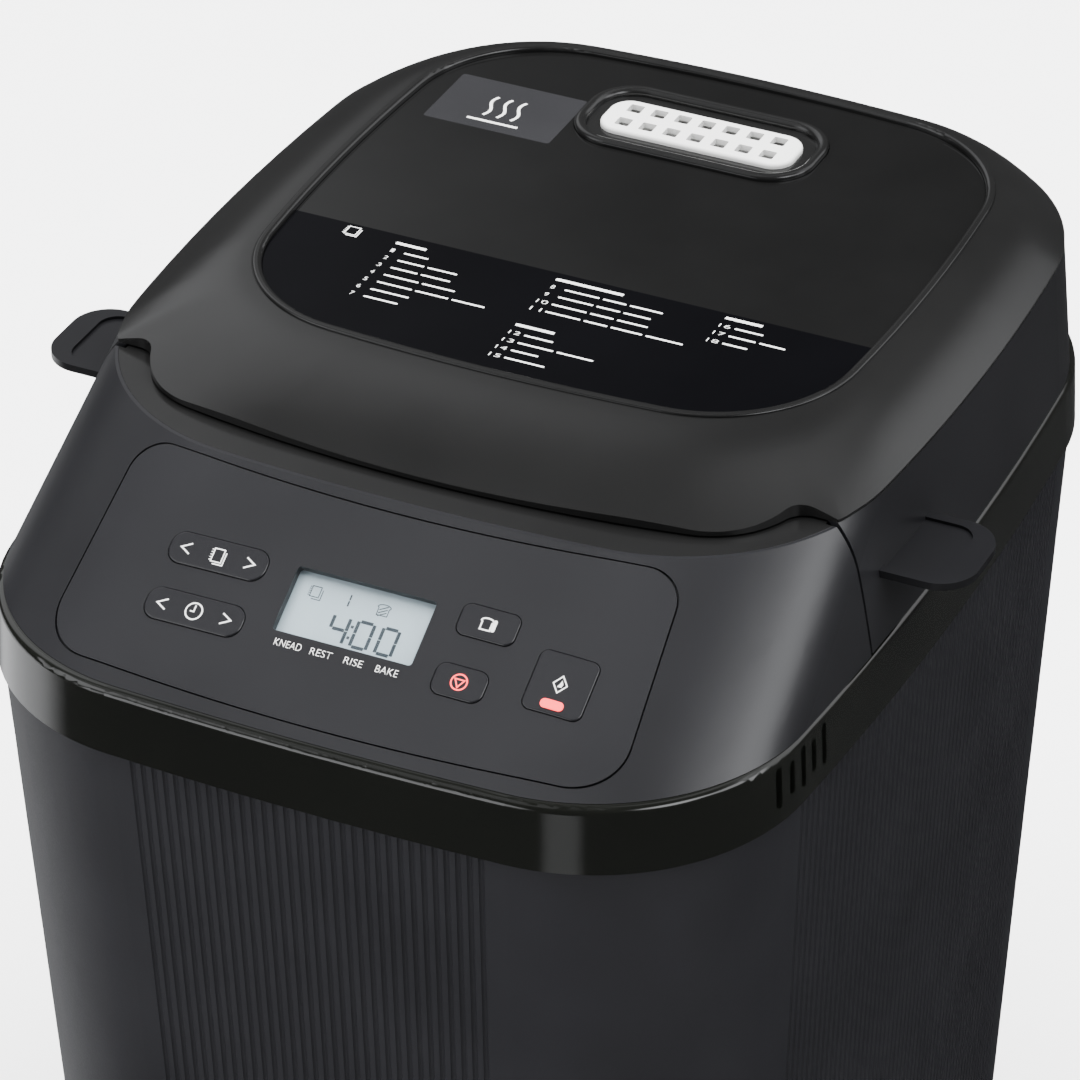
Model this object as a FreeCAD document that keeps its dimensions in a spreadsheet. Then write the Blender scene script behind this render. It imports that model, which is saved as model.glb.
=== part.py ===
import FreeCAD, Part
import math
import os
import Sketcher
from FreeCAD import Placement, Rotation, Vector

# Compact bread machine. Millimetres, +Z up, front towards -Y, origin on the floor under the middle.
doc = FreeCAD.newDocument("BreadMachine")
sheet = doc.addObject("Spreadsheet::Sheet", "dims")

DIMENSIONS = {
    # body and trim
    "foot_height": 6.0,
    "foot_radius": 9.0,
    "foot_x": 78.0,
    "foot_y": 100.0,
    "base_thickness": 3.0,
    "base_top": 9.0,
    "seam_level": 277.0,
    "band_half_width": 120.5,
    "band_half_depth": 152.5,
    "band_height": 20.0,
    "band_wall": 4.2,
    "band_draft": 0.8,
    "band_round": 2.0,
    "bow_end_radius": 1155.0,
    "bow_side_radius": 1256.0,
    "corner_radius": 62.0,
    "body_inset": 1.5,
    "body_wall": 2.6,
    "body_taper": 0.0477,
    "flute_pitch": 3.3,
    "flute_width": 1.7,
    "flute_depth": 0.55,
    "flutes_front": 32.0,
    "flutes_side": 56.0,
    "slot_width": 2.4,
    "slot_pitch": 5.8,
    "slot_tall": 13.0,
    "slot_short": 10.5,
    "slot_first_y": 104.5,
    "slot_level": 10.8,
    # sloped control housing and lid skirt share one outer form
    "skirt_half_width": 119.0,
    "skirt_half_depth": 149.2,
    "crease_half_width": 114.7,
    "crease_half_depth": 119.0,
    "crease_middle": 30.5,
    "crease_level": 58.6,
    "crease_end_radius": 720.0,
    "crease_side_radius": 734.0,
    "crease_corner": 60.7,
    "form_base": 20.1,
    "split_y": 51.5,
    "split_gap": 1.0,
    "housing_wall": 2.5,
    "housing_front_wall": 4.5,
    "shelf_top": 57.9,
    "shelf_thickness": 2.8,
    # control panel, measured in its own sloping plane
    "panel_origin_y": 120.0,
    "panel_top_half": 79.5,
    "panel_bottom_half": 83.8,
    "panel_top_middle": 32.8,
    "panel_top_corner": 38.4,
    "panel_bottom_middle": 30.4,
    "panel_bottom_corner": 25.6,
    "panel_top_round": 9.5,
    "panel_bottom_round": 15.0,
    "panel_joint": 0.45,
    "panel_depth": 2.2,
    "key_gap": 0.18,
    "key_rise": 0.9,
    "key_stem": 7.0,
    "key_round": 0.5,
    "key_travel": 0.6,
    "rocker_width": 29.0,
    "rocker_height": 9.3,
    "rocker_x": 43.6,
    "menu_key_s": 9.0,
    "timer_key_s": 7.8,
    "key_height": 9.2,
    "size_key_width": 16.6,
    "size_key_x": 35.3,
    "size_key_s": 9.7,
    "stop_key_width": 14.8,
    "stop_key_x": 34.0,
    "stop_key_s": 7.8,
    "start_key_width": 16.6,
    "start_key_height": 17.2,
    "start_key_x": 60.0,
    "start_key_s": 1.0,
    "window_half_x": 20.3,
    "window_half_y": 9.5,
    "window_x": 0.6,
    "window_s": 2.6,
    "lens_depth": 1.4,
    "module_depth": 3.2,
    "board_half_x": 75.0,
    "board_half_y": 22.0,
    "board_thickness": 1.6,
    "board_depth": 12.0,
    "switch_height": 3.8,
    "switch_size": 6.0,
    # lid
    "ridge_half_width": 91.6,
    "ridge_half_depth": 88.8,
    "ridge_middle": 50.3,
    "ridge_level": 70.0,
    "ridge_width": 3.0,
    "ridge_step": 0.8,
    "ridge_ledge": 0.3,
    "ridge_round": 1.2,
    "ridge_outer_round": 0.7,
    "ridge_end_radius": 646.0,
    "ridge_side_radius": 625.0,
    "ridge_corner": 43.5,
    "lid_plate_level": 68.2,
    "lid_plate_thickness": 2.0,
    "dome_front": 79.4,
    "dome_foot": 0.9,
    "tongue_front": 78.6,
    "tongue_half_width": 97.0,
    "lid_wall": 2.6,
    "vent_x": 2.0,
    "vent_y": 105.0,
    "vent_half_length": 37.0,
    "vent_half_width": 17.5,
    "vent_corner": 14.0,
    "vent_top": 70.0,
    "grille_half_length": 30.0,
    "grille_half_width": 9.0,
    "grille_top": 69.4,
    "grille_hole": 4.3,
    "grille_pitch": 7.5,
    "grille_rows": 8.2,
    "tab_reach": 139.0,
    "tab_front": 41.0,
    "tab_back": 9.0,
    "tab_bottom": 38.0,
    "tab_top": 40.2,
    "hinge_y": 147.5,
    "hinge_level": 25.0,
    "hinge_radius": 4.0,
    "hinge_pin_radius": 1.5,
    "hinge_clearance": 0.05,
    "liner_level": 22.0,
    "liner_thickness": 1.0,
    "frame_thickness": 3.0,
    # baking chamber and pan
    "chamber_y": 40.0,
    "chamber_half_x": 79.0,
    "chamber_half_y": 80.0,
    "chamber_corner": 30.0,
    "chamber_wall": 1.2,
    "chamber_floor": 62.0,
    "deck_bottom": 289.2,
    "deck_top": 293.0,
    "seat_top": 68.0,
    "pan_half_x": 58.0,
    "pan_half_y": 62.0,
    "pan_corner": 24.0,
    "pan_wall": 1.6,
    "pan_bottom": 84.0,
    "pan_top": 206.0,
    "bail_level": 213.0,
    "bail_reach": 72.0,
    "bail_wire": 2.0,
    "bail_half_width": 63.5,
    "ear_thickness": 2.4,
    "ear_half_width": 6.0,
    "heater_level": 92.0,
    "heater_wire": 3.2,
    "heater_half_width": 71.0,
    "heater_half_depth": 70.0,
    "sensor_level": 150.0,
    # drive
    "plate_bottom": 34.0,
    "plate_thickness": 1.6,
    "spindle_radius": 5.0,
    "running_clearance": 0.05,
    "blade_shaft_radius": 4.0,
    "motor_y": 95.0,
    "motor_shaft_radius": 3.0,
    "pulley_bottom": 14.0,
    "pulley_height": 12.0,
    "big_pulley_radius": 46.5,
    "big_groove_radius": 44.0,
    "small_pulley_radius": 9.5,
    "small_groove_radius": 7.0,
    "belt_thickness": 1.6,
    "belt_width": 7.0,
    "gland_x": 30.0,
    "gland_level": 30.0,
    "gland_hole": 8.0,
    "gland_bore": 3.5,
}
for row, (alias, amount) in enumerate(DIMENSIONS.items(), start=1):
    sheet.set("A%d" % row, alias)
    sheet.set("B%d" % row, str(amount))
    sheet.setAlias("B%d" % row, alias)
doc.recompute()

NODES = []


def size(alias):
    """Value of one cell of the sheet."""
    return float(sheet.get(alias))


def number(formula):
    """Value of a sum such as 'base_top + foot_height - 0.5'."""
    total = 0.0
    sign = 1.0
    for word in formula.split():
        if word in ("+", "-"):
            sign = 1.0 if word == "+" else -1.0
        elif word[0].isdigit():
            total += sign * float(word)
        else:
            total += sign * size(word)
    return total


def bound(formula):
    """The same sum written as an expression on the sheet."""
    words = []
    for word in formula.split():
        plain = word in ("+", "-") or word[0].isdigit()
        words.append(word if plain else "dims." + word)
    return "0 + " + " ".join(words) if words[0] != "-" else "0 " + " ".join(words)


def minus(first, second):
    """Formula for the first sum less the second."""
    swap = {"+": "-", "-": "+"}
    return first + " - " + " ".join(swap.get(word, word) for word in second.split())


def bind(item, **links):
    """Tie properties of an object to the sheet; a double underscore stands for a dot."""
    for key, formula in links.items():
        item.setExpression(key.replace("__", "."), bound(formula))


def place(item, at, rotation=None):
    """Put an object at three sums of cells, with an optional rotation."""
    origin = Vector(*[number(formula) for formula in at])
    item.Placement = Placement(origin, rotation or Rotation())
    for axis, formula in zip("xyz", at):
        item.setExpression("Placement.Base." + axis, bound(formula))


def node(item, label):
    """Register a finished sub-part under its own name."""
    item.Label = label
    NODES.append(item)
    return item


# ---- sketch based bodies --------------------------------------------------------------------

def sketch_on(body, plane, height="0"):
    """Empty sketch on one of the body's own origin planes, lifted to a height."""
    sketch = body.newObject("Sketcher::SketchObject", body.Name + "_sketch")
    support = [item for item in body.Origin.OriginFeatures if item.Role == plane][0]
    sketch.AttachmentSupport = [(support, "")]
    sketch.MapMode = "FlatFace"
    sketch.setExpression("AttachmentOffset.Base.z", bound(height))
    return sketch


def pin_point(sketch, line, end, x, y):
    """Hold one sketch point at two sums of cells."""
    for kind, formula, axis in (("DistanceX", x, -2), ("DistanceY", y, -1)):
        amount = number(formula)
        if abs(amount) < 1e-9:
            sketch.addConstraint(Sketcher.Constraint("PointOnObject", line, end, axis))
            continue
        index = sketch.addConstraint(Sketcher.Constraint(kind, -1, 1, line, end, amount))
        sketch.renameConstraint(index, "%s_%d_%d" % (kind[-1].lower(), line, end))
        sketch.setExpression("Constraints.%s_%d_%d" % (kind[-1].lower(), line, end), bound(formula))


def draw_polygon(sketch, *corners):
    """Closed chain of lines through corners given as sums of cells."""
    points = [Vector(number(x), number(y), 0) for x, y in corners]
    count = len(points)
    for index in range(count):
        sketch.addGeometry(Part.LineSegment(points[index], points[(index + 1) % count]), False)
    for index in range(count):
        sketch.addConstraint(Sketcher.Constraint("Coincident", index, 2, (index + 1) % count, 1))
    for index, (x, y) in enumerate(corners):
        pin_point(sketch, index, 1, x, y)


def draw_disc(sketch, radius, x="0", y="0"):
    """Circle of a given radius."""
    centre = Vector(number(x), number(y), 0)
    sketch.addGeometry(Part.Circle(centre, Vector(0, 0, 1), number(radius)), False)
    index = sketch.addConstraint(Sketcher.Constraint("Radius", 0, number(radius)))
    sketch.renameConstraint(index, "radius")
    sketch.setExpression("Constraints.radius", bound(radius))
    pin_point(sketch, 0, 3, x, y)


def draw_block(sketch, half_x, half_y, corner, x="0", y="0"):
    """Rectangle with rounded corners, given by half sizes and its middle."""
    hx, hy, r = number(half_x), number(half_y), number(corner)
    cx, cy = number(x), number(y)
    lines = (
        ((-hx + r, -hy), (hx - r, -hy)),
        ((hx, -hy + r), (hx, hy - r)),
        ((hx - r, hy), (-hx + r, hy)),
        ((-hx, hy - r), (-hx, -hy + r)),
    )
    for start, end in lines:
        first = Vector(cx + start[0], cy + start[1], 0)
        last = Vector(cx + end[0], cy + end[1], 0)
        sketch.addGeometry(Part.LineSegment(first, last), False)
    turns = ((1, -1, -90), (1, 1, 0), (-1, 1, 90), (-1, -1, 180))
    for sx, sy, angle in turns:
        centre = Vector(cx + sx * (hx - r), cy + sy * (hy - r), 0)
        circle = Part.Circle(centre, Vector(0, 0, 1), r)
        low, high = math.radians(angle), math.radians(angle + 90)
        sketch.addGeometry(Part.ArcOfCircle(circle, low, high), False)
    for index in range(4):
        arc = 4 + index
        sketch.addConstraint(Sketcher.Constraint("Tangent", index, 2, arc, 1))
        sketch.addConstraint(Sketcher.Constraint("Tangent", arc, 2, (index + 1) % 4, 1))
    for index, kind in enumerate(("Horizontal", "Vertical", "Horizontal", "Vertical")):
        sketch.addConstraint(Sketcher.Constraint(kind, index))
    for arc in (5, 6, 7):
        sketch.addConstraint(Sketcher.Constraint("Equal", 4, arc))
    limits = (
        ("Radius", 4, None, corner, r),
        ("DistanceY", 0, 1, minus(y, half_y), cy - hy),
        ("DistanceX", 1, 1, x + " + " + half_x, cx + hx),
        ("DistanceY", 2, 1, y + " + " + half_y, cy + hy),
        ("DistanceX", 3, 1, minus(x, half_x), cx - hx),
    )
    for order, (kind, line, end, formula, amount) in enumerate(limits):
        if end is None:
            rule = Sketcher.Constraint(kind, line, amount)
        else:
            rule = Sketcher.Constraint(kind, -1, 1, line, end, amount)
        index = sketch.addConstraint(rule)
        sketch.renameConstraint(index, "limit_%d" % order)
        sketch.setExpression("Constraints.limit_%d" % order, bound(formula))


DRAW = {"block": draw_block, "disc": draw_disc, "polygon": draw_polygon}


def layered(name, steps, at=("0", "0", "0"), rotation=None):
    """Body made of upright pads and pockets, each drawn as a sketch between two levels."""
    body = doc.addObject("PartDesign::Body", name)
    for action, (shape, *measures), low, high in steps:
        sketch = sketch_on(body, "XY_Plane", low if action == "pad" else high)
        DRAW[shape](sketch, *measures)
        doc.recompute()
        kind = "PartDesign::Pad" if action == "pad" else "PartDesign::Pocket"
        before = body.Shape.Volume if body.Tip else 0.0
        feature = body.newObject(kind, name + "_" + action)
        feature.Profile = sketch
        feature.Type = 0
        bind(feature, Length=minus(high, low))
        sketch.Visibility = False
        doc.recompute()
        change = body.Shape.Volume - before
        if (change > 0) != (action == "pad"):
            raise RuntimeError("%s: %s changed the volume by %.3f" % (name, action, change))
    place(body, at, rotation)
    return body


def turned(name, profile, at=("0", "0", "0"), rotation=None):
    """Body of revolution about its own Z axis from a closed radius and height profile."""
    body = doc.addObject("PartDesign::Body", name)
    sketch = sketch_on(body, "XZ_Plane")
    draw_polygon(sketch, *profile)
    doc.recompute()
    feature = body.newObject("PartDesign::Revolution", name + "_turn")
    feature.Profile = sketch
    feature.ReferenceAxis = (sketch, ["V_Axis"])
    feature.Angle = 360
    sketch.Visibility = False
    doc.recompute()
    place(body, at, rotation)
    return body


# ---- primitives and booleans ----------------------------------------------------------------

ALONG_X = Rotation(Vector(0, 1, 0), 90)
ALONG_Y = Rotation(Vector(1, 0, 0), -90)


def block(name, at, width, depth, height, rotation=None):
    """Box with its low corner at a point."""
    item = doc.addObject("Part::Box", name)
    bind(item, Length=width, Width=depth, Height=height)
    place(item, at, rotation)
    return item


def rod(name, at, radius, length, rotation=None):
    """Cylinder starting at a point."""
    item = doc.addObject("Part::Cylinder", name)
    bind(item, Radius=radius, Height=length)
    place(item, at, rotation)
    return item


def joined(name, members):
    """One solid fused from several."""
    item = doc.addObject("Part::MultiFuse", name)
    item.Shapes = members
    item.Refine = True
    return item


def less(name, base, tools):
    """A base solid with tools cut away."""
    item = doc.addObject("Part::Cut", name)
    item.Base = base
    item.Tool = tools[0] if len(tools) == 1 else joined(name + "_tools", tools)
    item.Refine = True
    return item


def grouped(name, members):
    """Several separate solids kept as one object."""
    item = doc.addObject("Part::Compound", name)
    item.Links = members
    return item


def softened(name, base, level, outer, inner):
    """Round the edges of a body at one level above the seam: its outer rim and any inner rims."""
    doc.recompute()
    box = base.Shape.BoundBox
    item = doc.addObject("Part::Fillet", name)
    item.Base = base
    rounded = []
    for index, edge in enumerate(base.Shape.Edges, start=1):
        reach = edge.BoundBox
        if reach.ZLength > 0.01 or abs(reach.ZMax - size("seam_level") - level) > 0.01:
            continue
        sides = (reach.XMin - box.XMin, box.XMax - reach.XMax, reach.YMin - box.YMin, box.YMax - reach.YMax)
        radius = outer if min(sides) < 0.01 else inner
        if radius:
            rounded.append((index, radius, radius))
    item.Edges = rounded
    return item


def formed(name, shape, at=("0", "0", "0"), rotation=None):
    """Free form shape computed from the sheet, placed by the sheet."""
    item = doc.addObject("Part::Feature", name)
    item.Shape = shape
    place(item, at, rotation)
    return item


# ---- outer form -----------------------------------------------------------------------------

def outline(half_w, half_d, end_r, side_r, corner_r, middle=0.0, level=0.0, flutes=False):
    """Closed wire of bowed sides joined by round corners, optionally fluted front and sides."""
    end = Vector(0, half_d - end_r, 0)
    side = Vector(half_w - side_r, 0, 0)
    reach_end, reach_side = end_r - corner_r, side_r - corner_r
    span = end.distanceToPoint(side)
    along = (span ** 2 + reach_end ** 2 - reach_side ** 2) / (2 * span)
    across = math.sqrt(reach_end ** 2 - along ** 2)
    unit = (side - end) * (1 / span)
    corner = end + unit * along + Vector(unit.y, -unit.x, 0) * across
    lean_end = math.atan2((corner - end).x, (corner - end).y)
    lean_side = math.atan2((corner - side).y, (corner - side).x)

    def arc(centre, radius, first, last):
        points = [first, (first + last) / 2, last]
        return [centre + Vector(math.cos(a), math.sin(a), 0) * radius for a in points]

    def plain(centre, radius, first, last):
        return [Part.Arc(*arc(centre, radius, first, last)).toShape()]

    def fluted(centre, radius, first, last, count):
        pitch = size("flute_pitch") / radius
        half = size("flute_width") / radius / 2
        middle_angle = (first + last) / 2
        edges = []
        start = first
        for index in range(int(count)):
            at = middle_angle + (index - (count - 1) / 2) * pitch
            low, high = at - half, at + half
            land = arc(centre, radius, start, low)
            groove = arc(centre, radius, low, high)
            groove[1] = centre + (groove[1] - centre) * (1 - size("flute_depth") / radius)
            edges.append(Part.makeLine(land[0], land[2]) if index else Part.Arc(*land).toShape())
            edges.append(Part.Arc(*groove).toShape())
            start = high
        edges.append(Part.Arc(*arc(centre, radius, start, last)).toShape())
        return edges

    quarter = math.pi / 2
    front_c, side_c = Vector(-end.x, -end.y, 0), side
    left_c = Vector(-side.x, 0, 0)
    edges = []
    front = (front_c, end_r, -quarter - lean_end, -quarter + lean_end)
    right = (side_c, side_r, -lean_side, lean_side)
    left = (left_c, side_r, math.pi - lean_side, math.pi + lean_side)
    edges += fluted(*front, size("flutes_front")) if flutes else plain(*front)
    edges += plain(Vector(corner.x, -corner.y, 0), corner_r, -quarter + lean_end, -lean_side)
    edges += fluted(*right, size("flutes_side")) if flutes else plain(*right)
    edges += plain(corner, corner_r, lean_side, quarter - lean_end)
    edges += plain(end, end_r, quarter - lean_end, quarter + lean_end)
    edges += plain(Vector(-corner.x, corner.y, 0), corner_r, quarter + lean_end, math.pi - lean_side)
    edges += fluted(*left, size("flutes_side")) if flutes else plain(*left)
    edges += plain(Vector(-corner.x, -corner.y, 0), corner_r, math.pi + lean_side, 1.5 * math.pi - lean_end)
    wire = Part.Wire(edges)
    wire.translate(Vector(0, middle, level))
    return wire


def body_outline(inset, level=0.0, flutes=False):
    """Plan of the tower at the seam, drawn in by an inset."""
    return outline(
        size("band_half_width") - inset, size("band_half_depth") - inset,
        size("bow_end_radius") - inset, size("bow_side_radius") - inset,
        size("corner_radius") - inset, 0.0, level, flutes,
    )


def form_loft(inset_x=0.0, inset_y=0.0):
    """Solid between the housing's foot and the crease below the lid's gloss rim."""
    corner = min(inset_x, inset_y)
    foot = outline(
        size("skirt_half_width") - inset_x, size("skirt_half_depth") - inset_y,
        size("bow_end_radius"), size("bow_side_radius"), size("corner_radius") - corner,
        0.0, size("form_base"),
    )
    crease = outline(
        size("crease_half_width") - inset_x, size("crease_half_depth") - inset_y,
        size("crease_end_radius"), size("crease_side_radius"), size("crease_corner") - corner,
        size("crease_middle"), size("crease_level"),
    )
    return Part.makeLoft([foot, crease], True, True)


def slab(low_x, high_x, low_y, high_y, low_z, high_z):
    """Box between limits."""
    return Part.makeBox(high_x - low_x, high_y - low_y, high_z - low_z, Vector(low_x, low_y, low_z))


def prism(wire, height):
    """Upright solid over a closed flat wire."""
    return Part.Face(wire).extrude(Vector(0, 0, height))


def tapered(inset, low, high, flutes=False):
    """Tower solid between two absolute levels, narrowing towards the floor."""
    wires = []
    for level in (low, high):
        drop = size("seam_level") - level
        scale = 1 - size("body_taper") * drop / size("band_half_width")
        wire = body_outline(inset, 0.0, flutes)
        wire.scale(scale, Vector(0, 0, 0))
        wire.translate(Vector(0, 0, level))
        wires.append(wire)
    return Part.makeLoft(wires, True, True)


def tower(low, high, inset=0.0, flutes=False):
    """Tower solid whose inset is measured from the body's outer face."""
    return tapered(size("body_inset") + inset, low, high, flutes)


SEAM = ("0", "0", "seam_level")
BIG = 200.0

# body shell with flutes, open at both ends, with a round hole for the cord gland
outer = tower(size("base_top"), size("seam_level"), 0.0, True)
inner = tower(size("base_top") - 1, size("seam_level") + 1, size("body_wall"))
gland_hole = Part.makeCylinder(
    size("gland_hole"), 60, Vector(size("gland_x"), 100, size("gland_level")), Vector(0, 1, 0)
)
body_shell = outer.cut(inner).cut(gland_hole)
node(formed("body_shell", body_shell), "body_shell")

# floor tray with an upstand inside the shell and ventilation slots under the motor
tray = tower(size("foot_height"), size("base_top"))
lip_outer = tower(size("base_top"), size("base_top") + 5, size("body_wall") + 0.3)
lip_inner = tower(size("base_top"), size("base_top") + 5, size("body_wall") + 2.3)
tray = tray.fuse(lip_outer.cut(lip_inner))
for index in range(7):
    y = -size("motor_y") + (index - 3) * 7.0
    tray = tray.cut(slab(-24, 24, y - 1.5, y + 1.5, 0, 12))
node(formed("base_tray", tray), "base_tray")

# gloss band round the top of the tower, with the five vent slots near the right front corner
band_top = size("band_height")
half_band = [body_outline(inset, level) for inset, level in ((0, 0), (size("band_draft"), band_top))]
band = Part.makeLoft(half_band, True, True)
flat_edges = [edge for edge in band.Edges if edge.BoundBox.ZLength < 0.01]
rim = [edge for edge in flat_edges if abs(edge.BoundBox.ZMin - band_top) < 0.01]
band = band.makeFillet(size("band_round"), rim)
band = band.cut(prism(body_outline(size("band_wall"), -1), band_top + 2))
for index in range(5):
    height = size("slot_tall") if index % 2 == 0 else size("slot_short")
    y = -size("slot_first_y") + index * size("slot_pitch")
    half = size("slot_width") / 2
    middle = size("slot_level")
    low, high = middle - height / 2 + half, middle + height / 2 - half
    band = band.cut(slab(100, 125, y - half, y + half, low, high))
    for level in (low, high):
        band = band.cut(Part.makeCylinder(half, 25, Vector(100, y, level), Vector(1, 0, 0)))
node(formed("trim_band", band, SEAM), "trim_band")

# deck behind the control housing, open over the chamber
split = -size("split_y")
deck_height = size("deck_top") - size("deck_bottom")
deck = prism(body_outline(size("band_wall") + 0.2), deck_height)
deck = deck.common(slab(-BIG, BIG, split - 4, BIG, -1, deck_height + 1))
deck_item = formed("deck_plate", deck, ("0", "0", "deck_bottom"))
deck_mouth = layered("deck_mouth", [
    ("pad", ("block", "chamber_half_x + 0.5", "chamber_half_y + 0.5", "chamber_corner + 0.5"),
     "deck_bottom - 5", "deck_top + 5"),
], ("0", "chamber_y", "0"))
node(less("deck", deck_item, [deck_mouth]), "chamber_deck")

# control housing: front part of the outer form, hollow, with a ledge for the shelf
housing_form = form_loft()
front_half = slab(-BIG, BIG, -BIG, split, 0, size("shelf_top"))
housing = housing_form.common(front_half)
housing = housing.cut(form_loft(size("housing_wall"), size("housing_front_wall")))
shelf_level = size("shelf_top") - size("shelf_thickness")
ledge = form_loft(0.8, 1.2).common(slab(-BIG, BIG, -BIG, 0, shelf_level - 0.1, BIG))
housing = housing.cut(ledge)

# frame of the control panel: X to the right, Y up the slope, Z out of the panel
slope = math.atan2(
    size("crease_level") - size("form_base"),
    size("skirt_half_depth") - size("crease_half_depth") + size("crease_middle"),
)
panel_level = size("form_base") + (size("skirt_half_depth") - size("panel_origin_y")) * math.tan(slope)
TILT = Rotation(Vector(1, 0, 0), math.degrees(slope))
sheet.set("A200", "panel_level")
sheet.set("B200", str(round(panel_level, 4)))
sheet.setAlias("B200", "panel_level")
doc.recompute()
PANEL = ("0", "0 - panel_origin_y", "seam_level + panel_level")


def on_panel(shape):
    """Move a shape drawn in the panel's plane to its sloping place in the seam frame."""
    shape.Placement = Placement(Vector(0, -size("panel_origin_y"), panel_level), TILT)
    return shape


def panel_outline(margin=0.0):
    """Plan of the overlay: straight sides, bowed top and bottom, rounded corners."""
    top, bottom = size("panel_top_half") + margin, size("panel_bottom_half") + margin
    high, high_mid = size("panel_top_corner") + margin, size("panel_top_middle") + margin
    low, low_mid = -size("panel_bottom_corner") - margin, -size("panel_bottom_middle") - margin
    under = -15
    plan = ((-bottom, low), (bottom, low), (top, high), (-top, high))
    corners = [Vector(x, y, under) for x, y in plan]
    edges = [
        Part.Arc(corners[0], Vector(0, low_mid, under), corners[1]).toShape(),
        Part.makeLine(corners[1], corners[2]),
        Part.Arc(corners[2], Vector(0, high_mid, under), corners[3]).toShape(),
        Part.makeLine(corners[3], corners[0]),
    ]
    solid = prism(Part.Wire(edges), 30)
    upright = [edge for edge in solid.Edges if edge.BoundBox.ZLength > 29]
    lower = [edge for edge in upright if edge.CenterOfMass.y < 0]
    solid = solid.makeFillet(size("panel_bottom_round"), lower)
    upper = [edge for edge in solid.Edges if edge.BoundBox.ZLength > 29 and edge.CenterOfMass.y > high - 1]
    return solid.makeFillet(size("panel_top_round"), upper)


def key_prism(half_x, half_y, corner, x, s, low, high):
    """Rounded block in the panel frame between two depths."""
    plate = slab(x - half_x, x + half_x, s - half_y, s + half_y, low, high)
    edges = [edge for edge in plate.Edges if edge.BoundBox.ZLength > high - low - 0.01]
    return plate.makeFillet(corner, edges)


KEYS = (
    ("menu_key", "rocker_width", "rocker_height", -size("rocker_x"), size("menu_key_s"), 4.0),
    ("timer_key", "rocker_width", "rocker_height", -size("rocker_x"), -size("timer_key_s"), 4.0),
    ("size_key", "size_key_width", "key_height", size("size_key_x"), size("size_key_s"), 2.6),
    ("stop_key", "stop_key_width", "key_height", size("stop_key_x"), -size("stop_key_s"), 3.0),
    ("start_key", "start_key_width", "start_key_height", size("start_key_x"), -size("start_key_s"), 2.4),
)
depth = size("panel_depth")
overlay_under = form_loft(size("housing_wall") * 0.5, depth)
overlay = housing_form.common(on_panel(panel_outline())).cut(overlay_under)
pocket = housing_form.common(on_panel(panel_outline(size("panel_joint"))))
pocket = pocket.cut(form_loft(size("housing_wall") * 0.5 + 0.1, depth + 0.15))
housing = housing.cut(pocket)
raised = form_loft(-size("key_rise"), -size("key_rise"))
gap = size("key_gap")
panel_normal = TILT.multVec(Vector(0, 0, 1))
for label, width, height, x, s, corner in KEYS:
    half_x, half_y = size(width) / 2, size(height) / 2
    key = raised.common(on_panel(key_prism(half_x, half_y, corner, x, s, -size("key_stem"), 5)))
    key_top = max(key.Faces, key=lambda face: face.CenterOfMass.dot(panel_normal))
    key = key.makeFillet(size("key_round"), key_top.Edges)
    overlay = overlay.cut(on_panel(key_prism(half_x + gap, half_y + gap, corner + gap, x, s, -15, 5)))
    housing = housing.cut(on_panel(key_prism(half_x + 2 * gap, half_y + 2 * gap, corner + gap, x, s, -15, 5)))
    node(formed(label, key, SEAM), label)
window = (size("window_half_x"), size("window_half_y"), 1.0, -size("window_x"), size("window_s"))
overlay = overlay.cut(on_panel(key_prism(*window, -15, 5)))
housing = housing.cut(on_panel(key_prism(*window, -15, 5)))
node(formed("control_panel", overlay, SEAM), "control_panel")
node(formed("control_housing", housing, SEAM), "control_housing")

# gloss shelf under the lid's front edge, with the wall that closes the housing towards the chamber
rear_of_shelf = split + 4.0
shelf = form_loft(0.9, 1.3).common(slab(-BIG, BIG, -BIG, split, shelf_level, size("shelf_top")))
shelf = shelf.fuse(slab(-104, 104, split - 0.1, rear_of_shelf, shelf_level, size("shelf_top")))
wall_low = size("deck_top") - size("seam_level") + 0.05
shelf = shelf.fuse(slab(-104, 104, split + 1.0, rear_of_shelf, wall_low, shelf_level + 0.1))
shelf = shelf.cut(on_panel(panel_outline())).removeSplitter()
node(formed("front_shelf", shelf, SEAM), "front_shelf")

# display, control board and switches, drawn in the panel frame
window_plan = ("0 - window_x", "window_s")
node(layered("display_lens", [
    ("pad", ("block", "window_half_x - 0.15", "window_half_y - 0.15", "0.9", *window_plan),
     "0 - lens_depth - 1.6", "0 - lens_depth"),
], PANEL, TILT), "display_lens")
node(layered("display_module", [
    ("pad", ("block", "window_half_x + 2", "window_half_y + 2", "1", *window_plan),
     "0 - module_depth - 3.2", "0 - module_depth"),
    ("pad", ("block", "window_half_x - 3", "window_half_y - 3", "1", *window_plan),
     "0 - board_depth", "0 - module_depth - 3.2"),
], PANEL, TILT), "display_module")
node(layered("control_board", [
    ("pad", ("block", "board_half_x", "board_half_y", "2"),
     "0 - board_depth - board_thickness", "0 - board_depth"),
], PANEL, TILT), "control_board")
switches = []
for label, width, height, x, s, corner in KEYS:
    spread = (-10, 10) if label in ("menu_key", "timer_key") else (0,)
    for offset in spread:
        at = ("%s %.2f" % ("0 -" if x + offset < 3 else "0 +", abs(x + offset - 3)),
              "%s %.2f" % ("0 -" if s < 3 else "0 +", abs(s - 3)), "0 - board_depth")
        switches.append(block("switch", at, "switch_size", "switch_size", "switch_height"))
switch_group = grouped("tact_switches", switches)
place(switch_group, PANEL, TILT)
node(switch_group, "tact_switches")
light = form_loft(-size("key_rise") - 0.6, -size("key_rise") - 0.6)
light = light.common(on_panel(key_prism(3.2, 1.3, 1.2, size("start_key_x"), -6.0 - size("start_key_s"), -2, 5))).cut(raised)
node(formed("start_light", light, SEAM), "start_light")

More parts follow.
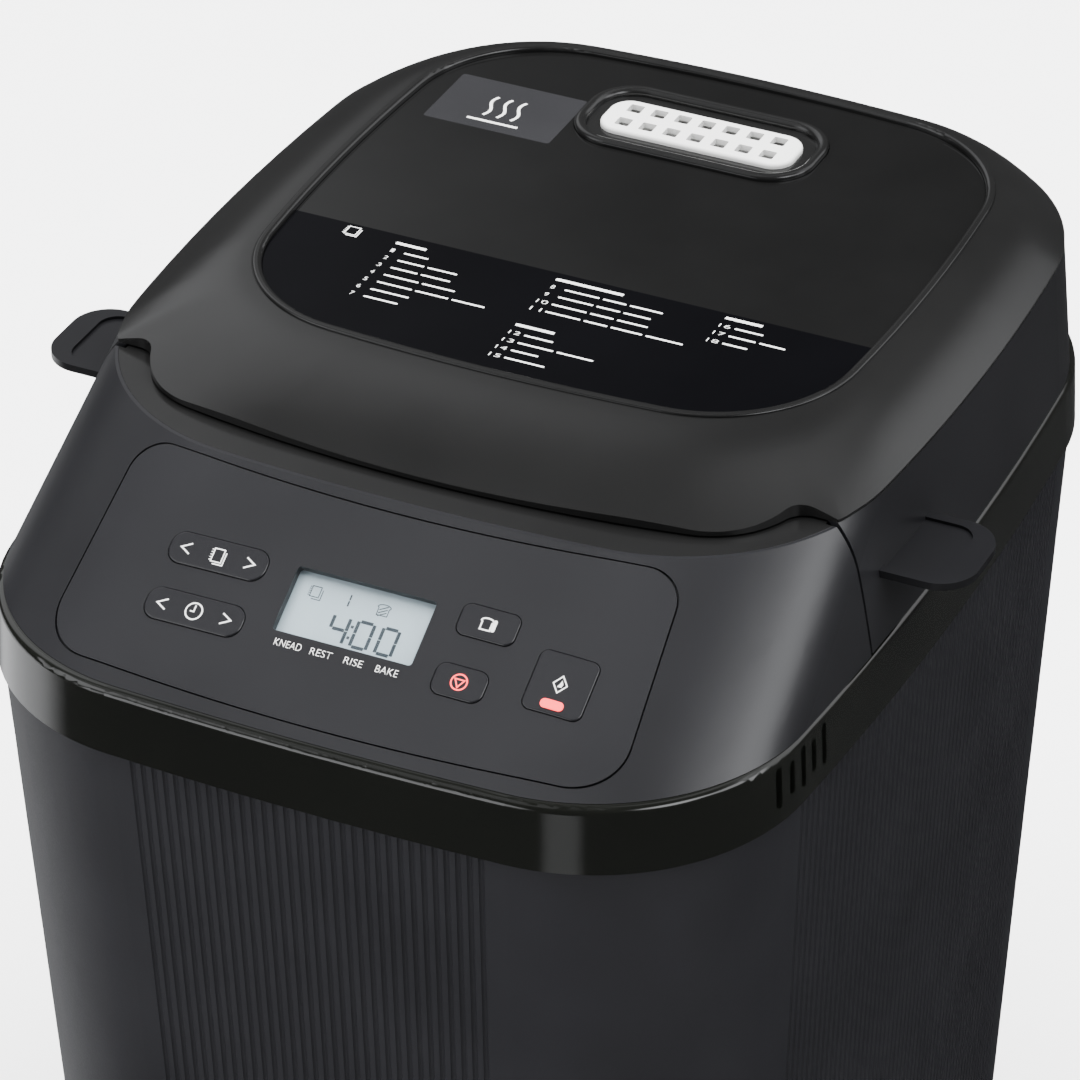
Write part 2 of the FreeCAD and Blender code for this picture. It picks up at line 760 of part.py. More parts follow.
# lid skirt: rear part of the outer form, hollow, notched at the back for the hinge
rear_part = slab(-BIG, BIG, split + size("split_gap"), BIG, size("form_base") + 0.3, BIG)
skirt = form_loft().common(rear_part).cut(form_loft(size("lid_wall"), size("lid_wall")))
skirt = skirt.cut(slab(-66, 66, 138, BIG, 0, 31))
skirt = skirt.cut(slab(-BIG, BIG, size("hinge_y") - 0.2, BIG, 0, 21))
node(formed("lid_skirt", skirt, SEAM), "lid_skirt")

# two thin lifting tabs with a dished top
tabs = []
for side in (-1, 1):
    reach, back, front = size("tab_reach"), -size("tab_back"), -size("tab_front")
    plate = slab(100, reach, front, back, size("tab_bottom"), size("tab_top"))
    outer_edges = [e for e in plate.Edges if e.BoundBox.ZLength > 2 and e.CenterOfMass.x > reach - 1]
    plate = plate.makeFillet(11.0, outer_edges)
    dish = slab(100, reach - 7, front + 3, back - 3, size("tab_top") - 0.9, size("tab_top") + 2)
    dish_edges = [e for e in dish.Edges if e.BoundBox.ZLength > 2.5 and e.CenterOfMass.x > reach - 8]
    plate = plate.cut(dish.makeFillet(6.0, dish_edges))
    if side < 0:
        plate = plate.mirror(Vector(0, 0, 0), Vector(1, 0, 0))
    tabs.append(plate.cut(housing_form))
node(formed("lid_tabs", Part.makeCompound(tabs), SEAM), "lid_tabs")


# gloss dome of the lid: S-curved front corners, rising to the ridge round the top plate
def ridge_outline(inset, level):
    """Plan of the ridge round the top plate."""
    return outline(
        size("ridge_half_width") - inset, size("ridge_half_depth") - inset,
        size("ridge_end_radius"), size("ridge_side_radius"), size("ridge_corner") - inset,
        size("ridge_middle"), level,
    )


def crease_outline(inset, level):
    """Plan of the crease between skirt and dome."""
    return outline(
        size("crease_half_width") - inset, size("crease_half_depth") - inset,
        size("crease_end_radius"), size("crease_side_radius"), size("crease_corner") - inset,
        size("crease_middle"), level,
    )


def lid_trim():
    """Closed wire that trims the dome: the tongue over the shelf in front, clear of it behind."""
    tongue_middle = 40.0
    tongue = outline(
        size("tongue_half_width"), size("tongue_front") + tongue_middle,
        420.0, 3000.0, 27.0, tongue_middle, 0.0,
    )
    rear = prism(crease_outline(-5.0, 0.0), 10).common(slab(-BIG, BIG, split + size("split_gap"), BIG, -1, 11))
    front = prism(tongue, 10).common(slab(-BIG, BIG, -BIG, 0, -1, 11))
    plan = rear.fuse(front).removeSplitter()
    inner_corners = []
    for edge in plan.Edges:
        middle = edge.CenterOfMass
        if edge.BoundBox.ZLength > 9.9 and abs(middle.y - split) < 2 and abs(middle.x) < 101:
            inner_corners.append(edge)
    plan = plan.makeFillet(7.0, inner_corners)
    bottom = [face for face in plan.Faces if abs(face.CenterOfMass.z) < 0.01][0]
    return bottom.OuterWire


def ray_points(wire, centre, angles):
    """Points where rays from a centre leave a flat wire."""
    points = []
    for angle in angles:
        far = centre + Vector(math.cos(angle), math.sin(angle), 0) * 300
        hits = wire.distToShape(Part.makeLine(centre, far))[1]
        points.append(max((pair[0] for pair in hits), key=lambda p: p.distanceToPoint(centre)))
    return points


def closed_curve(points, level):
    """Smooth closed wire through points at a level."""
    curve = Part.BSplineCurve()
    curve.interpolate([Vector(p.x, p.y, level) for p in points], PeriodicFlag=True)
    return Part.Wire([curve.toShape()])


def foot_point(point):
    """Point of the crease drawn back in front, so that the dome ends over the shelf."""
    crease_front = size("crease_half_depth") - size("crease_middle")
    share = max(0.0, (split - point.y) / (split + crease_front))
    return point + (centre - point).normalize() * (crease_front - size("dome_front")) * share ** 0.7


centre = Vector(0, size("ridge_middle"), 0)
samples = [foot_point(point) for point in crease_outline(0.0, 0.0).discretize(Number=161)[:-1]]
angles = [math.atan2(p.y - centre.y, p.x - centre.x) for p in samples]
ridge_points = ray_points(ridge_outline(0.0, 0.0), centre, angles)
edge_level = size("crease_level") + size("dome_foot")
rise = size("ridge_level") - size("ridge_step") - edge_level
sections = []
for share in (0.0, 0.05, 0.14, 0.28, 0.48, 0.74, 1.0):
    mixed = [a + (b - a) * share for a, b in zip(samples, ridge_points)]
    sections.append(closed_curve(mixed, edge_level + rise * (1 - (1 - share) ** 1.8)))
dome = Part.makeLoft(sections, True, False)
foot_ring = Part.Face(closed_curve(samples, size("crease_level"))).extrude(Vector(0, 0, size("dome_foot")))
dome = dome.fuse(foot_ring).common(prism(lid_trim(), 100))
plate_floor = size("lid_plate_level") - size("lid_plate_thickness")
bead = prism(ridge_outline(size("ridge_ledge"), plate_floor), size("ridge_level") - plate_floor)
bead_top = max(bead.Faces, key=lambda face: face.CenterOfMass.z)
bead = bead.makeFillet(size("ridge_outer_round"), bead_top.OuterWire.Edges)
bead = bead.cut(prism(ridge_outline(size("ridge_width"), plate_floor), 20))
bead_top = max(bead.Faces, key=lambda face: face.CenterOfMass.z)
inner_wire = min(bead_top.Wires, key=lambda wire: wire.Length)
bead = bead.makeFillet(size("ridge_round"), inner_wire.Edges)
dome = dome.cut(prism(ridge_outline(size("ridge_width") / 2, plate_floor), 20)).fuse(bead)
cavity = prism(crease_outline(8.0, 0.0), 3.8).common(slab(-BIG, BIG, -44, BIG, -1, 5))
cavity = cavity.fuse(slab(-58, 58, -66, -43, 0, 3.8))
cavity.translate(Vector(0, 0, size("crease_level")))
dome = dome.cut(cavity)
vent_half = (size("vent_half_length") + 0.2, size("vent_half_width") + 0.2)
vent_hole = slab(-vent_half[0], vent_half[0], -vent_half[1], vent_half[1], 50, 80)
vent_hole = vent_hole.makeFillet(size("vent_corner") + 0.2, [e for e in vent_hole.Edges if e.BoundBox.ZLength > 29])
vent_hole.translate(Vector(-size("vent_x"), size("vent_y"), 0))
node(formed("lid_shell", dome.cut(vent_hole), SEAM), "lid_shell")
top_plate = prism(ridge_outline(size("ridge_width") + 0.15, plate_floor), size("lid_plate_thickness"))
node(formed("lid_plate", top_plate.cut(vent_hole), SEAM), "lid_plate")


def signed(sign, term):
    """A single cell or number with a sign, as a formula."""
    return term if sign > 0 else "0 - " + term


def spots(x, y):
    """Four places symmetric about the machine's middle plane and the line y = 0."""
    return [(signed(sx, x), signed(sy, y)) for sx in (-1, 1) for sy in (-1, 1)]


# ---- lid: vent, frame, liner and hinge ------------------------------------------------------

VENT = ("0 - vent_x", "vent_y", "seam_level")
bezel = layered("bezel_blank", [
    ("pad", ("block", "vent_half_length", "vent_half_width", "vent_corner"), "60", "vent_top"),
    ("pocket", ("block", "vent_half_length - 3.4", "vent_half_width - 3.4", "11"), "67.8", "vent_top"),
    ("pocket", ("block", "grille_half_length + 0.2", "grille_half_width + 0.2", "6.7"), "60", "67.8"),
], VENT)
node(softened("bezel_round", bezel, size("vent_top"), 1.3, 1.9), "vent_bezel")
grille_steps = [
    ("pad", ("block", "grille_half_length", "grille_half_width", "6.5"), "60.2", "grille_top"),
    ("pocket", ("block", "grille_half_length - 1.4", "grille_half_width - 1.4", "5.1"), "60.2", "67.6"),
]
for row in (-1, 1):
    for column in range(-3, 4):
        middle = signed(1 if column >= 0 else -1, str(abs(column) * size("grille_pitch")))
        row_y = signed(row, str(size("grille_rows") / 2))
        half = str(size("grille_hole") / 2)
        grille_steps.append(("pocket", ("block", half, half, "0.5", middle, row_y), "67.6", "grille_top"))
grille = layered("grille_blank", grille_steps, VENT)
node(softened("grille_round", grille, size("grille_top"), 1.1, 0.0), "vent_grille")
node(layered("vent_duct", [
    ("pad", ("block", "33", "13", "12.9"), "26", "60"),
    ("pocket", ("block", "31.4", "11.4", "11.3"), "26", "60"),
], VENT), "vent_duct")

frame_bottom = size("liner_level") + size("liner_thickness")
frame_top = frame_bottom + size("frame_thickness")
inner_form = form_loft(size("lid_wall") + 0.05, size("lid_wall") + 0.05)
frame = inner_form.common(slab(-BIG, BIG, -46.4, BIG, frame_bottom, frame_top))
frame = frame.cut(slab(-66, 66, 127, BIG, 0, 40)).cut(slab(-64, 64, -28, 88, 0, 40))
duct_mouth = slab(-30, 30, -10, 10, 0, 40)
duct_mouth.translate(Vector(-size("vent_x"), size("vent_y"), 0))
front_wall = inner_form.common(slab(-BIG, BIG, -46.4, -44.4, frame_bottom, size("crease_level") - 0.05))
frame = frame.cut(duct_mouth).fuse(front_wall).removeSplitter()
node(formed("lid_frame", frame, SEAM), "lid_frame")

CHAMBER_AT_SEAM = ("0", "chamber_y", "seam_level")
liner_steps = [(
    "pad", ("block", "chamber_half_x + 6", "chamber_half_y + 6", "chamber_corner + 6"),
    "liner_level", "liner_level + liner_thickness",
)]
for column in range(-2, 3):
    spot = signed(1 if column >= 0 else -1, str(abs(column) * 11.0))
    liner_steps.append(
        ("pocket", ("disc", "3", spot, "vent_y - chamber_y"), "liner_level", "liner_level + liner_thickness")
    )
node(layered("lid_liner", liner_steps, CHAMBER_AT_SEAM), "lid_liner")
node(layered("lid_seal", [
    ("pad", ("block", "chamber_half_x + 6", "chamber_half_y + 6", "chamber_corner + 6"),
     "17.5", "liner_level"),
    ("pocket", ("block", "chamber_half_x + 1.5", "chamber_half_y + 1.5", "chamber_corner + 1.5"),
     "17.5", "liner_level"),
], CHAMBER_AT_SEAM), "lid_seal")
screw_head = [("0", "0"), ("2.4", "0"), ("3", "0.5"), ("3", "1.2"), ("0", "1.2")]
screws = []
for x, y in spots("68", "66"):
    row = "chamber_y - 66" if y.startswith("0 -") else "chamber_y + 66"
    screws.append(turned("lid_screw", screw_head, (x, row, "seam_level + liner_level - 1.2")))
node(grouped("lid_screws", screws), "lid_screws")

HINGE_AXIS = ("hinge_y", "seam_level + hinge_level")
PIN_BORE = "hinge_pin_radius + hinge_clearance"
arms = []
for side in (-1, 1):
    x = "43" if side > 0 else "0 - 55"
    barrel = rod("hinge_barrel", (x, *HINGE_AXIS), "hinge_radius", "12", ALONG_X)
    arm = block("hinge_arm", (x, "127.1", "seam_level + 21.5"), "12", "hinge_y - 127.1", "7")
    bore = rod("hinge_bore", (minus(x, "1"), *HINGE_AXIS), PIN_BORE + " + 0.01", "14", ALONG_X)
    arms.append(less("hinge_arm_bored", joined("hinge_arm_blank", [barrel, arm]), [bore]))
node(grouped("lid_hinge_arms", arms), "lid_hinge_arms")

strip = block("hinge_strip", ("0 - 64", "137", "deck_top"), "128", "9.2", "4.05")
lugs = [strip]
bores = []
pins = []
for x in ("36", "55.3", "0 - 42.7", "0 - 62"):
    lugs.append(rod("hinge_lug", (x, *HINGE_AXIS), "hinge_radius", "6.7", ALONG_X))
    lugs.append(block("hinge_stem", (x, "hinge_y - 4", "deck_top + 4.05"), "6.7", "8", "4.95"))
    bores.append(rod("lug_bore", (minus(x, "0.5"), *HINGE_AXIS), PIN_BORE, "7.7", ALONG_X))
for x in ("34", "0 - 63"):
    pins.append(rod("hinge_pin", (x, *HINGE_AXIS), "hinge_pin_radius", "29", ALONG_X))
node(less("hinge_bracket", joined("hinge_lugs", lugs), bores), "hinge_bracket")
node(grouped("hinge_pins", pins), "hinge_pins")

# ---- chassis --------------------------------------------------------------------------------

foot = [("0", "0"), ("foot_radius", "0"), ("foot_radius + 1.5", "foot_height"), ("0", "foot_height")]
feet = [turned("foot", foot, (x, y, "0")) for x, y in spots("foot_x", "foot_y")]
node(grouped("rubber_feet", feet), "rubber_feet")
posts = [
    rod("chassis_post", (x, y, "base_top"), "5", "plate_bottom - base_top")
    for x, y in spots("foot_x", "foot_y")
]
PLATE_TOP = "plate_bottom + plate_thickness"
for x in ("58", "0 - 58"):
    for y in ("0 - 110", "0 - 66"):
        posts.append(rod("board_post", (x, y, PLATE_TOP), "3.5", "120 - plate_bottom - plate_thickness"))
node(grouped("chassis_posts", posts), "chassis_posts")
node(layered("chassis_plate", [
    ("pad", ("block", "98", "126", "50"), "plate_bottom", PLATE_TOP),
    ("pocket", ("disc", "6", "0", "0 - motor_y"), "plate_bottom", PLATE_TOP),
    ("pocket", ("disc", "8", "0", "chamber_y"), "plate_bottom", PLATE_TOP),
]), "chassis_plate")
supports = []
for x in ("60", "0 - 60"):
    for y in ("chamber_y + 62", "chamber_y - 62"):
        supports.append(rod("support", (x, y, PLATE_TOP), "5", minus("chamber_floor", PLATE_TOP)))
node(grouped("chamber_supports", supports), "chamber_supports")

# ---- motor and first pulley -----------------------------------------------------------------

MOTOR = ("0", "0 - motor_y", "0")
bracket = layered("lower_plate", [
    ("pad", ("block", "30", "26", "6"), "44", "47.8"),
    ("pocket", ("disc", "motor_shaft_radius + running_clearance"), "44", "47.8"),
], MOTOR)
pillars = [
    rod("pillar", (x, minus("0", "motor_y") + y, PLATE_TOP), "4", minus("44", PLATE_TOP))
    for x in ("24", "0 - 24") for y in (" + 19", " - 19")
]
node(joined("lower_bracket", [bracket, *pillars]), "motor_lower_bracket")
node(layered("upper_bracket", [
    ("pad", ("block", "30", "26", "6"), "80", "84"),
    ("pocket", ("disc", "motor_shaft_radius + running_clearance"), "80", "84"),
], MOTOR), "motor_upper_bracket")
node(layered("stator", [
    ("pad", ("block", "36", "32", "8"), "47.8", "80"),
    ("pocket", ("disc", "17"), "47.8", "80"),
], MOTOR), "motor_stator")
node(turned("rotor", [
    ("0", "pulley_bottom"), ("motor_shaft_radius", "pulley_bottom"), ("motor_shaft_radius", "49"),
    ("16.6", "49"), ("16.6", "79"), ("motor_shaft_radius", "79"), ("motor_shaft_radius", "88"), ("0", "88"),
], MOTOR), "motor_rotor")


def pulley(name, bore, groove, rim, at):
    """Grooved pulley standing on the pulley level."""
    low, high = "pulley_bottom", "pulley_bottom + pulley_height"
    return turned(name, [
        (bore, low), (rim, low), (rim, low + " + 2"), (groove, low + " + 2"),
        (groove, high + " - 2"), (rim, high + " - 2"), (rim, high), (bore, high),
    ], at)


node(pulley("small_pulley", "motor_shaft_radius + 0.01", "small_groove_radius", "small_pulley_radius", MOTOR),
     "motor_pulley")
node(rod("capacitor", ("80", "0 - 75", PLATE_TOP), "13", "50"), "run_capacitor")

# ---- drive under the baking chamber ---------------------------------------------------------

SPINDLE = ("0", "chamber_y", "0")
bore = "spindle_radius + running_clearance"
node(turned("bearing", [
    (bore, PLATE_TOP), ("24", PLATE_TOP), ("24", "39"), ("13", "39"), ("13", "64"), (bore, "64"),
], SPINDLE), "drive_bearing")
spindle = turned("spindle", [
    ("0", "pulley_bottom"), ("spindle_radius", "pulley_bottom"), ("spindle_radius", "64.5"),
    ("12", "64.5"), ("12", "68.5"), ("0", "68.5"),
], SPINDLE)
dogs = [block("dog", (x, "chamber_y - 2", "68.4"), "5", "4", "5.6") for x in ("6", "0 - 11")]
node(joined("spindle_with_dogs", [spindle, *dogs]), "drive_spindle")
node(pulley("large_pulley", "spindle_radius + 0.01", "big_groove_radius", "big_pulley_radius", SPINDLE),
     "drive_pulley")


def belt_loop(large, small, low, height):
    """Solid filling the loop round two pulleys."""
    reach = size("chamber_y") + size("motor_y")
    lean = math.asin((large - small) / reach)
    corners = []
    for side, radius, y in ((1, large, size("chamber_y")), (1, small, -size("motor_y")),
                            (-1, small, -size("motor_y")), (-1, large, size("chamber_y"))):
        corners.append(Vector(side * radius * math.cos(lean), y - radius * math.sin(lean), low))
    web = Part.Face(Part.makePolygon(corners + corners[:1])).extrude(Vector(0, 0, height))
    solid = web.fuse(Part.makeCylinder(large, height, Vector(0, size("chamber_y"), low)))
    return solid.fuse(Part.makeCylinder(small, height, Vector(0, -size("motor_y"), low))).removeSplitter()


belt_low = size("pulley_bottom") + (size("pulley_height") - size("belt_width")) / 2
gap = 0.15
outer_loop = belt_loop(
    size("big_groove_radius") + gap + size("belt_thickness"),
    size("small_groove_radius") + gap + size("belt_thickness"), belt_low, size("belt_width"),
)
inner_loop = belt_loop(
    size("big_groove_radius") + gap, size("small_groove_radius") + gap, belt_low - 1, size("belt_width") + 2
)
node(formed("belt", outer_loop.cut(inner_loop), ("0", "0", "0")), "drive_belt")

# ---- baking chamber -------------------------------------------------------------------------

tub = layered("tub_blank", [
    ("pad", ("block", "chamber_half_x", "chamber_half_y", "chamber_corner"), "chamber_floor", "deck_top"),
    ("pad", ("block", "chamber_half_x + 6", "chamber_half_y + 6", "chamber_corner + 6"),
     "deck_top", "deck_top + chamber_wall"),
    ("pocket", ("block", "chamber_half_x - chamber_wall", "chamber_half_y - chamber_wall",
                "chamber_corner - chamber_wall"), "chamber_floor + chamber_wall", "deck_top + chamber_wall"),
    ("pocket", ("disc", "13.4"), "chamber_floor", "chamber_floor + chamber_wall"),
], SPINDLE)
TUB_FRONT = "chamber_y - chamber_half_y"
holes = [rod("sensor_hole", ("40", TUB_FRONT + " - 5", "sensor_level"), "2.7", "10", ALONG_Y)]
for x in ("12", "0 - 12"):
    start = (x, TUB_FRONT + " - 5", "heater_level")
    holes.append(rod("heater_hole", start, "heater_wire + 0.2", "10", ALONG_Y))
node(less("tub", tub, holes), "chamber_tub")
node(rod("sensor", ("40", TUB_FRONT + " - 10", "sensor_level"), "2.5", "20", ALONG_Y), "temperature_sensor")


def bent_path(corners, bends, level):
    """Open wire through plan corners, each inner corner rounded by its bend radius."""
    points = [Vector(x, y, level) for x, y in corners]
    edges = []
    start = points[0]
    for before, corner, after, bend in zip(points, points[1:], points[2:], bends):
        into = (before - corner).normalize()
        out = (after - corner).normalize()
        half = into.getAngle(out) / 2
        reach = bend / math.tan(half)
        first, last = corner + into * reach, corner + out * reach
        hub = corner + (into + out).normalize() * (bend / math.sin(half))
        top = hub + (corner - hub).normalize() * bend
        edges += [Part.makeLine(start, first), Part.Arc(first, top, last).toShape()]
        start = last
    edges.append(Part.makeLine(start, points[-1]))
    return Part.Wire(edges)


def bent_rod(path, radius):
    """Round bar following an open wire."""
    start = path.OrderedEdges[0]
    first = start.firstVertex().Point
    profile = Part.Wire([Part.makeCircle(radius, first, start.tangentAt(start.FirstParameter))])
    return path.makePipeShell([profile], True, False)


half_x, half_y = size("heater_half_width"), size("heater_half_depth")
loop = [(12, -22 - half_y), (12, -half_y), (half_x, -half_y), (half_x, half_y), (-half_x, half_y),
        (-half_x, -half_y), (-12, -half_y), (-12, -22 - half_y)]
bends = [7, 26, 26, 26, 26, 7]
heater = bent_rod(bent_path(loop, bends, 0.0), size("heater_wire"))
node(formed("heater", heater, ("0", "chamber_y", "heater_level")), "heater_element")

node(turned("seat", [
    ("30", "chamber_floor + chamber_wall"), ("52", "chamber_floor + chamber_wall"),
    ("52", "seat_top"), ("30", "seat_top"),
], SPINDLE), "pan_seat")
clips = [block("clip", (x, "chamber_y - 8", "seat_top"), "1.6", "16", "14") for x in ("48.4", "0 - 50")]
node(grouped("pan_clips", clips), "pan_clips")

# ---- electrics ------------------------------------------------------------------------------

BOARD = ("0", "0 - 88", "120")
mains_board = layered("mains_board", [("pad", ("block", "65", "30", "3"), "0", "board_thickness")], BOARD)
node(mains_board, "power_board")
core = block("core", ("0 - 51", "0 - 102", "120 + board_thickness"), "32", "28", "26")
winding = block("winding", ("0 - 47", "0 - 108", "120 + board_thickness + 5"), "24", "40", "16")
relay = block("relay", ("20", "0 - 104", "120 + board_thickness"), "20", "16", "16")
terminals = [
    block("terminal", (str(x), "0 - 76", "120 + board_thickness"), "9", "12", "11") for x in (5, 15, 25, 35)
]
transformer = joined("transformer", [core, winding])
node(grouped("board_parts", [transformer, relay, *terminals]), "board_components")
node(turned("gland", [
    ("gland_bore", "0"), ("gland_hole - 0.1", "0"), ("gland_hole - 0.1", "6"), ("gland_hole + 3", "6"),
    ("gland_hole + 3", "8"), ("gland_hole", "10"), ("gland_bore", "10"),
], ("gland_x", "133.3", "gland_level"), ALONG_Y), "cord_gland")

# ---- pan, handle and blade ------------------------------------------------------------------

pan_blank = layered("pan_blank", [
    ("pad", ("block", "pan_half_x", "pan_half_y", "pan_corner"), "pan_bottom", "pan_top - 2.5"),
    ("pad", ("block", "pan_half_x + 2", "pan_half_y + 2", "pan_corner + 2"), "pan_top - 2.5", "pan_top"),
    ("pocket", ("block", "pan_half_x - pan_wall", "pan_half_y - pan_wall", "pan_corner - pan_wall"),
     "pan_bottom + pan_wall", "pan_top"),
    ("pocket", ("disc", "9"), "pan_bottom", "pan_bottom + pan_wall"),
], SPINDLE)
ears = [pan_blank]
ear_holes = []
for x in ("pan_half_x - 0.4", "0 - pan_half_x - 2"):
    low = "chamber_y - ear_half_width"
    ears.append(block("ear", (x, low, "pan_top - 8"), "ear_thickness", "ear_half_width + ear_half_width",
                      "bail_level - pan_top + 8"))
    ears.append(rod("ear_round", (x, "chamber_y", "bail_level"), "ear_half_width", "ear_thickness", ALONG_X))
    ear_holes.append(
        rod("ear_hole", (minus(x, "2"), "chamber_y", "bail_level"), "bail_wire + 0.06", "ear_thickness + 4", ALONG_X)
    )
node(less("pan", joined("pan_with_ears", ears), ear_holes), "bread_pan")
node(turned("base_ring", [
    ("blade_shaft_radius + running_clearance", "79.2"), ("9", "79.2"), ("9", "81"), ("42", "81"), ("42", "68.3"),
    ("48", "68.3"), ("48", "pan_bottom"), ("blade_shaft_radius + running_clearance", "pan_bottom"),
], SPINDLE), "pan_base")
node(turned("seal", [
    ("blade_shaft_radius + running_clearance", "pan_bottom"), ("8.95", "pan_bottom"), ("8.95", "86.4"),
    ("6", "87.8"), ("blade_shaft_radius + running_clearance", "87.8"),
], SPINDLE), "shaft_seal")
bail_x, reach = size("bail_half_width"), size("bail_reach")
bail_corners = [(55.5, 0), (bail_x, 0), (bail_x, -reach), (-bail_x, -reach), (-bail_x, 0), (-55.5, 0)]
bail = bent_rod(bent_path(bail_corners, [3, 20, 20, 3], 0.0), size("bail_wire"))
node(formed("bail", bail, ("0", "chamber_y", "bail_level")), "pan_handle")

shaft = turned("shaft", [
    ("0", "73"), ("blade_shaft_radius", "73"), ("blade_shaft_radius", "74.6"), ("12", "74.6"), ("12", "78.6"),
    ("blade_shaft_radius", "78.6"), ("blade_shaft_radius", "101.8"), ("0", "101.8"),
], SPINDLE)
lower_dogs = [block("lower_dog", ("0 - 2", y, "69.2"), "4", "5", "5.5") for y in ("chamber_y + 6", "chamber_y - 11")]
node(joined("shaft_with_dogs", [shaft, *lower_dogs]), "blade_shaft")
hub = turned("blade_hub", [
    ("blade_shaft_radius + 0.02", "88.4"), ("9", "88.4"), ("8", "104"), ("0", "104"), ("0", "102"),
    ("blade_shaft_radius + 0.02", "102"),
], SPINDLE)
paddle = layered("paddle", [
    ("pad", ("polygon", ("6", "0 - 5.5"), ("30", "0 - 5"), ("44", "0 - 2"), ("46", "2"), ("42", "4"), ("6", "5.5")),
     "88.4", "98"),
    ("pad", ("polygon", ("6", "0 - 3"), ("34", "0 - 2"), ("40", "1"), ("6", "3")), "98", "102"),
], SPINDLE)
node(joined("blade", [hub, paddle]), "kneading_blade")

# ---- checks and export ----------------------------------------------------------------------

doc.recompute()
for item in doc.Objects:
    if "Invalid" in item.State or "Error" in item.State:
        raise RuntimeError("%s is in state %s" % (item.Name, item.State))
for item in NODES:
    if item.Shape.isNull() or not item.Shape.isValid() or item.Shape.Volume <= 0:
        raise RuntimeError("sub-part %s has no valid solid" % item.Label)
os.makedirs("parts", exist_ok=True)
for item in NODES:
    item.Shape.exportStep("parts/%s.step" % item.Label)
print("%d sub-parts written" % len(NODES))
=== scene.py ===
import math

import bmesh
import bpy
from mathutils import Matrix, Vector
from mathutils.bvhtree import BVHTree


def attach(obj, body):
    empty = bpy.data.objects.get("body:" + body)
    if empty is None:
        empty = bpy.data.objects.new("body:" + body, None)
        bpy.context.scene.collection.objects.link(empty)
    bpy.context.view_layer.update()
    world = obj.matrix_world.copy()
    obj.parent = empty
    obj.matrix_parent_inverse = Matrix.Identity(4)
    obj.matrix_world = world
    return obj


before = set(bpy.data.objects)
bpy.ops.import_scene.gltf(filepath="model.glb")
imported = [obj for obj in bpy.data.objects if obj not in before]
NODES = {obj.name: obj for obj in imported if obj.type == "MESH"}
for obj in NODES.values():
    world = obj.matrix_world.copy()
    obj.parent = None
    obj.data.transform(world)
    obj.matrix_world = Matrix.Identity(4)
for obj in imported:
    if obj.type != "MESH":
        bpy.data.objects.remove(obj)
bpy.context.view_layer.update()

MM = 0.001

# Control panel frame: X right, S up the slope, N out of the panel.
PANEL_TILT = math.radians(32.3856)
PANEL_ORIGIN = Vector((0.0, -0.120, 0.3156206))
PANEL_X = Vector((1.0, 0.0, 0.0))
PANEL_S = Vector((0.0, math.cos(PANEL_TILT), math.sin(PANEL_TILT)))
PANEL_N = Vector((0.0, -math.sin(PANEL_TILT), math.cos(PANEL_TILT)))
PLATE_ORIGIN = Vector((-0.0015, -0.001, 0.3452))
WORLD_Y = Vector((0.0, 1.0, 0.0))
WORLD_Z = Vector((0.0, 0.0, 1.0))
# Drawings are laid out in millimetres: origin, right, up and out of each surface.
PANEL_DRAWING = (PANEL_ORIGIN, PANEL_X, PANEL_S, PANEL_N)
PLATE_DRAWING = (PLATE_ORIGIN, PANEL_X, WORLD_Y, WORLD_Z)

RAY_START = 0.02
RAY_REACH = 0.04
PRINT_DEPTH = 0.05
LABEL_LIFT = 0.00002
LABEL_THICKNESS = 0.00005


# ---- materials ------------------------------------------------------------------------------

def add_node(tree, kind, **settings):
    """New shader node with plain properties set."""
    item = tree.nodes.new(kind)
    for key, value in settings.items():
        setattr(item, key, value)
    return item


def plastic(name, colour, roughness, *, spread=0.12, mottle=25.0, grain=2500.0, bump=0.00002,
            rough_spread=0.06, **inputs):
    """Moulded plastic: slow colour drift, fine surface texture and uneven roughness."""
    item = bpy.data.materials.new(name)
    item.use_nodes = True
    tree = item.node_tree
    shader = tree.nodes["Principled BSDF"]
    for key, value in inputs.items():
        shader.inputs[key.replace("_", " ")].default_value = value
    where = add_node(tree, "ShaderNodeTexCoord")
    slow = add_node(tree, "ShaderNodeTexNoise")
    slow.inputs["Scale"].default_value = mottle
    slow.inputs["Detail"].default_value = 4.0
    fine = add_node(tree, "ShaderNodeTexNoise")
    fine.inputs["Scale"].default_value = grain
    fine.inputs["Detail"].default_value = 3.0
    tree.links.new(where.outputs["Object"], slow.inputs["Vector"])
    tree.links.new(where.outputs["Object"], fine.inputs["Vector"])
    tint = add_node(tree, "ShaderNodeValToRGB")
    tint.color_ramp.elements[0].position = 0.3
    tint.color_ramp.elements[1].position = 0.7
    tint.color_ramp.elements[0].color = [c * (1 - spread) for c in colour] + [1]
    tint.color_ramp.elements[1].color = [min(c * (1 + spread), 1) for c in colour] + [1]
    tree.links.new(slow.outputs["Fac"], tint.inputs["Fac"])
    tree.links.new(tint.outputs["Color"], shader.inputs["Base Color"])
    level = add_node(tree, "ShaderNodeMapRange")
    level.inputs["To Min"].default_value = max(roughness - rough_spread, 0.02)
    level.inputs["To Max"].default_value = roughness + rough_spread
    tree.links.new(fine.outputs["Fac"], level.inputs["Value"])
    tree.links.new(level.outputs["Result"], shader.inputs["Roughness"])
    if bump:
        relief = add_node(tree, "ShaderNodeBump")
        relief.inputs["Strength"].default_value = 0.6
        relief.inputs["Distance"].default_value = bump
        tree.links.new(fine.outputs["Fac"], relief.inputs["Height"])
        tree.links.new(relief.outputs["Normal"], shader.inputs["Normal"])
    return item


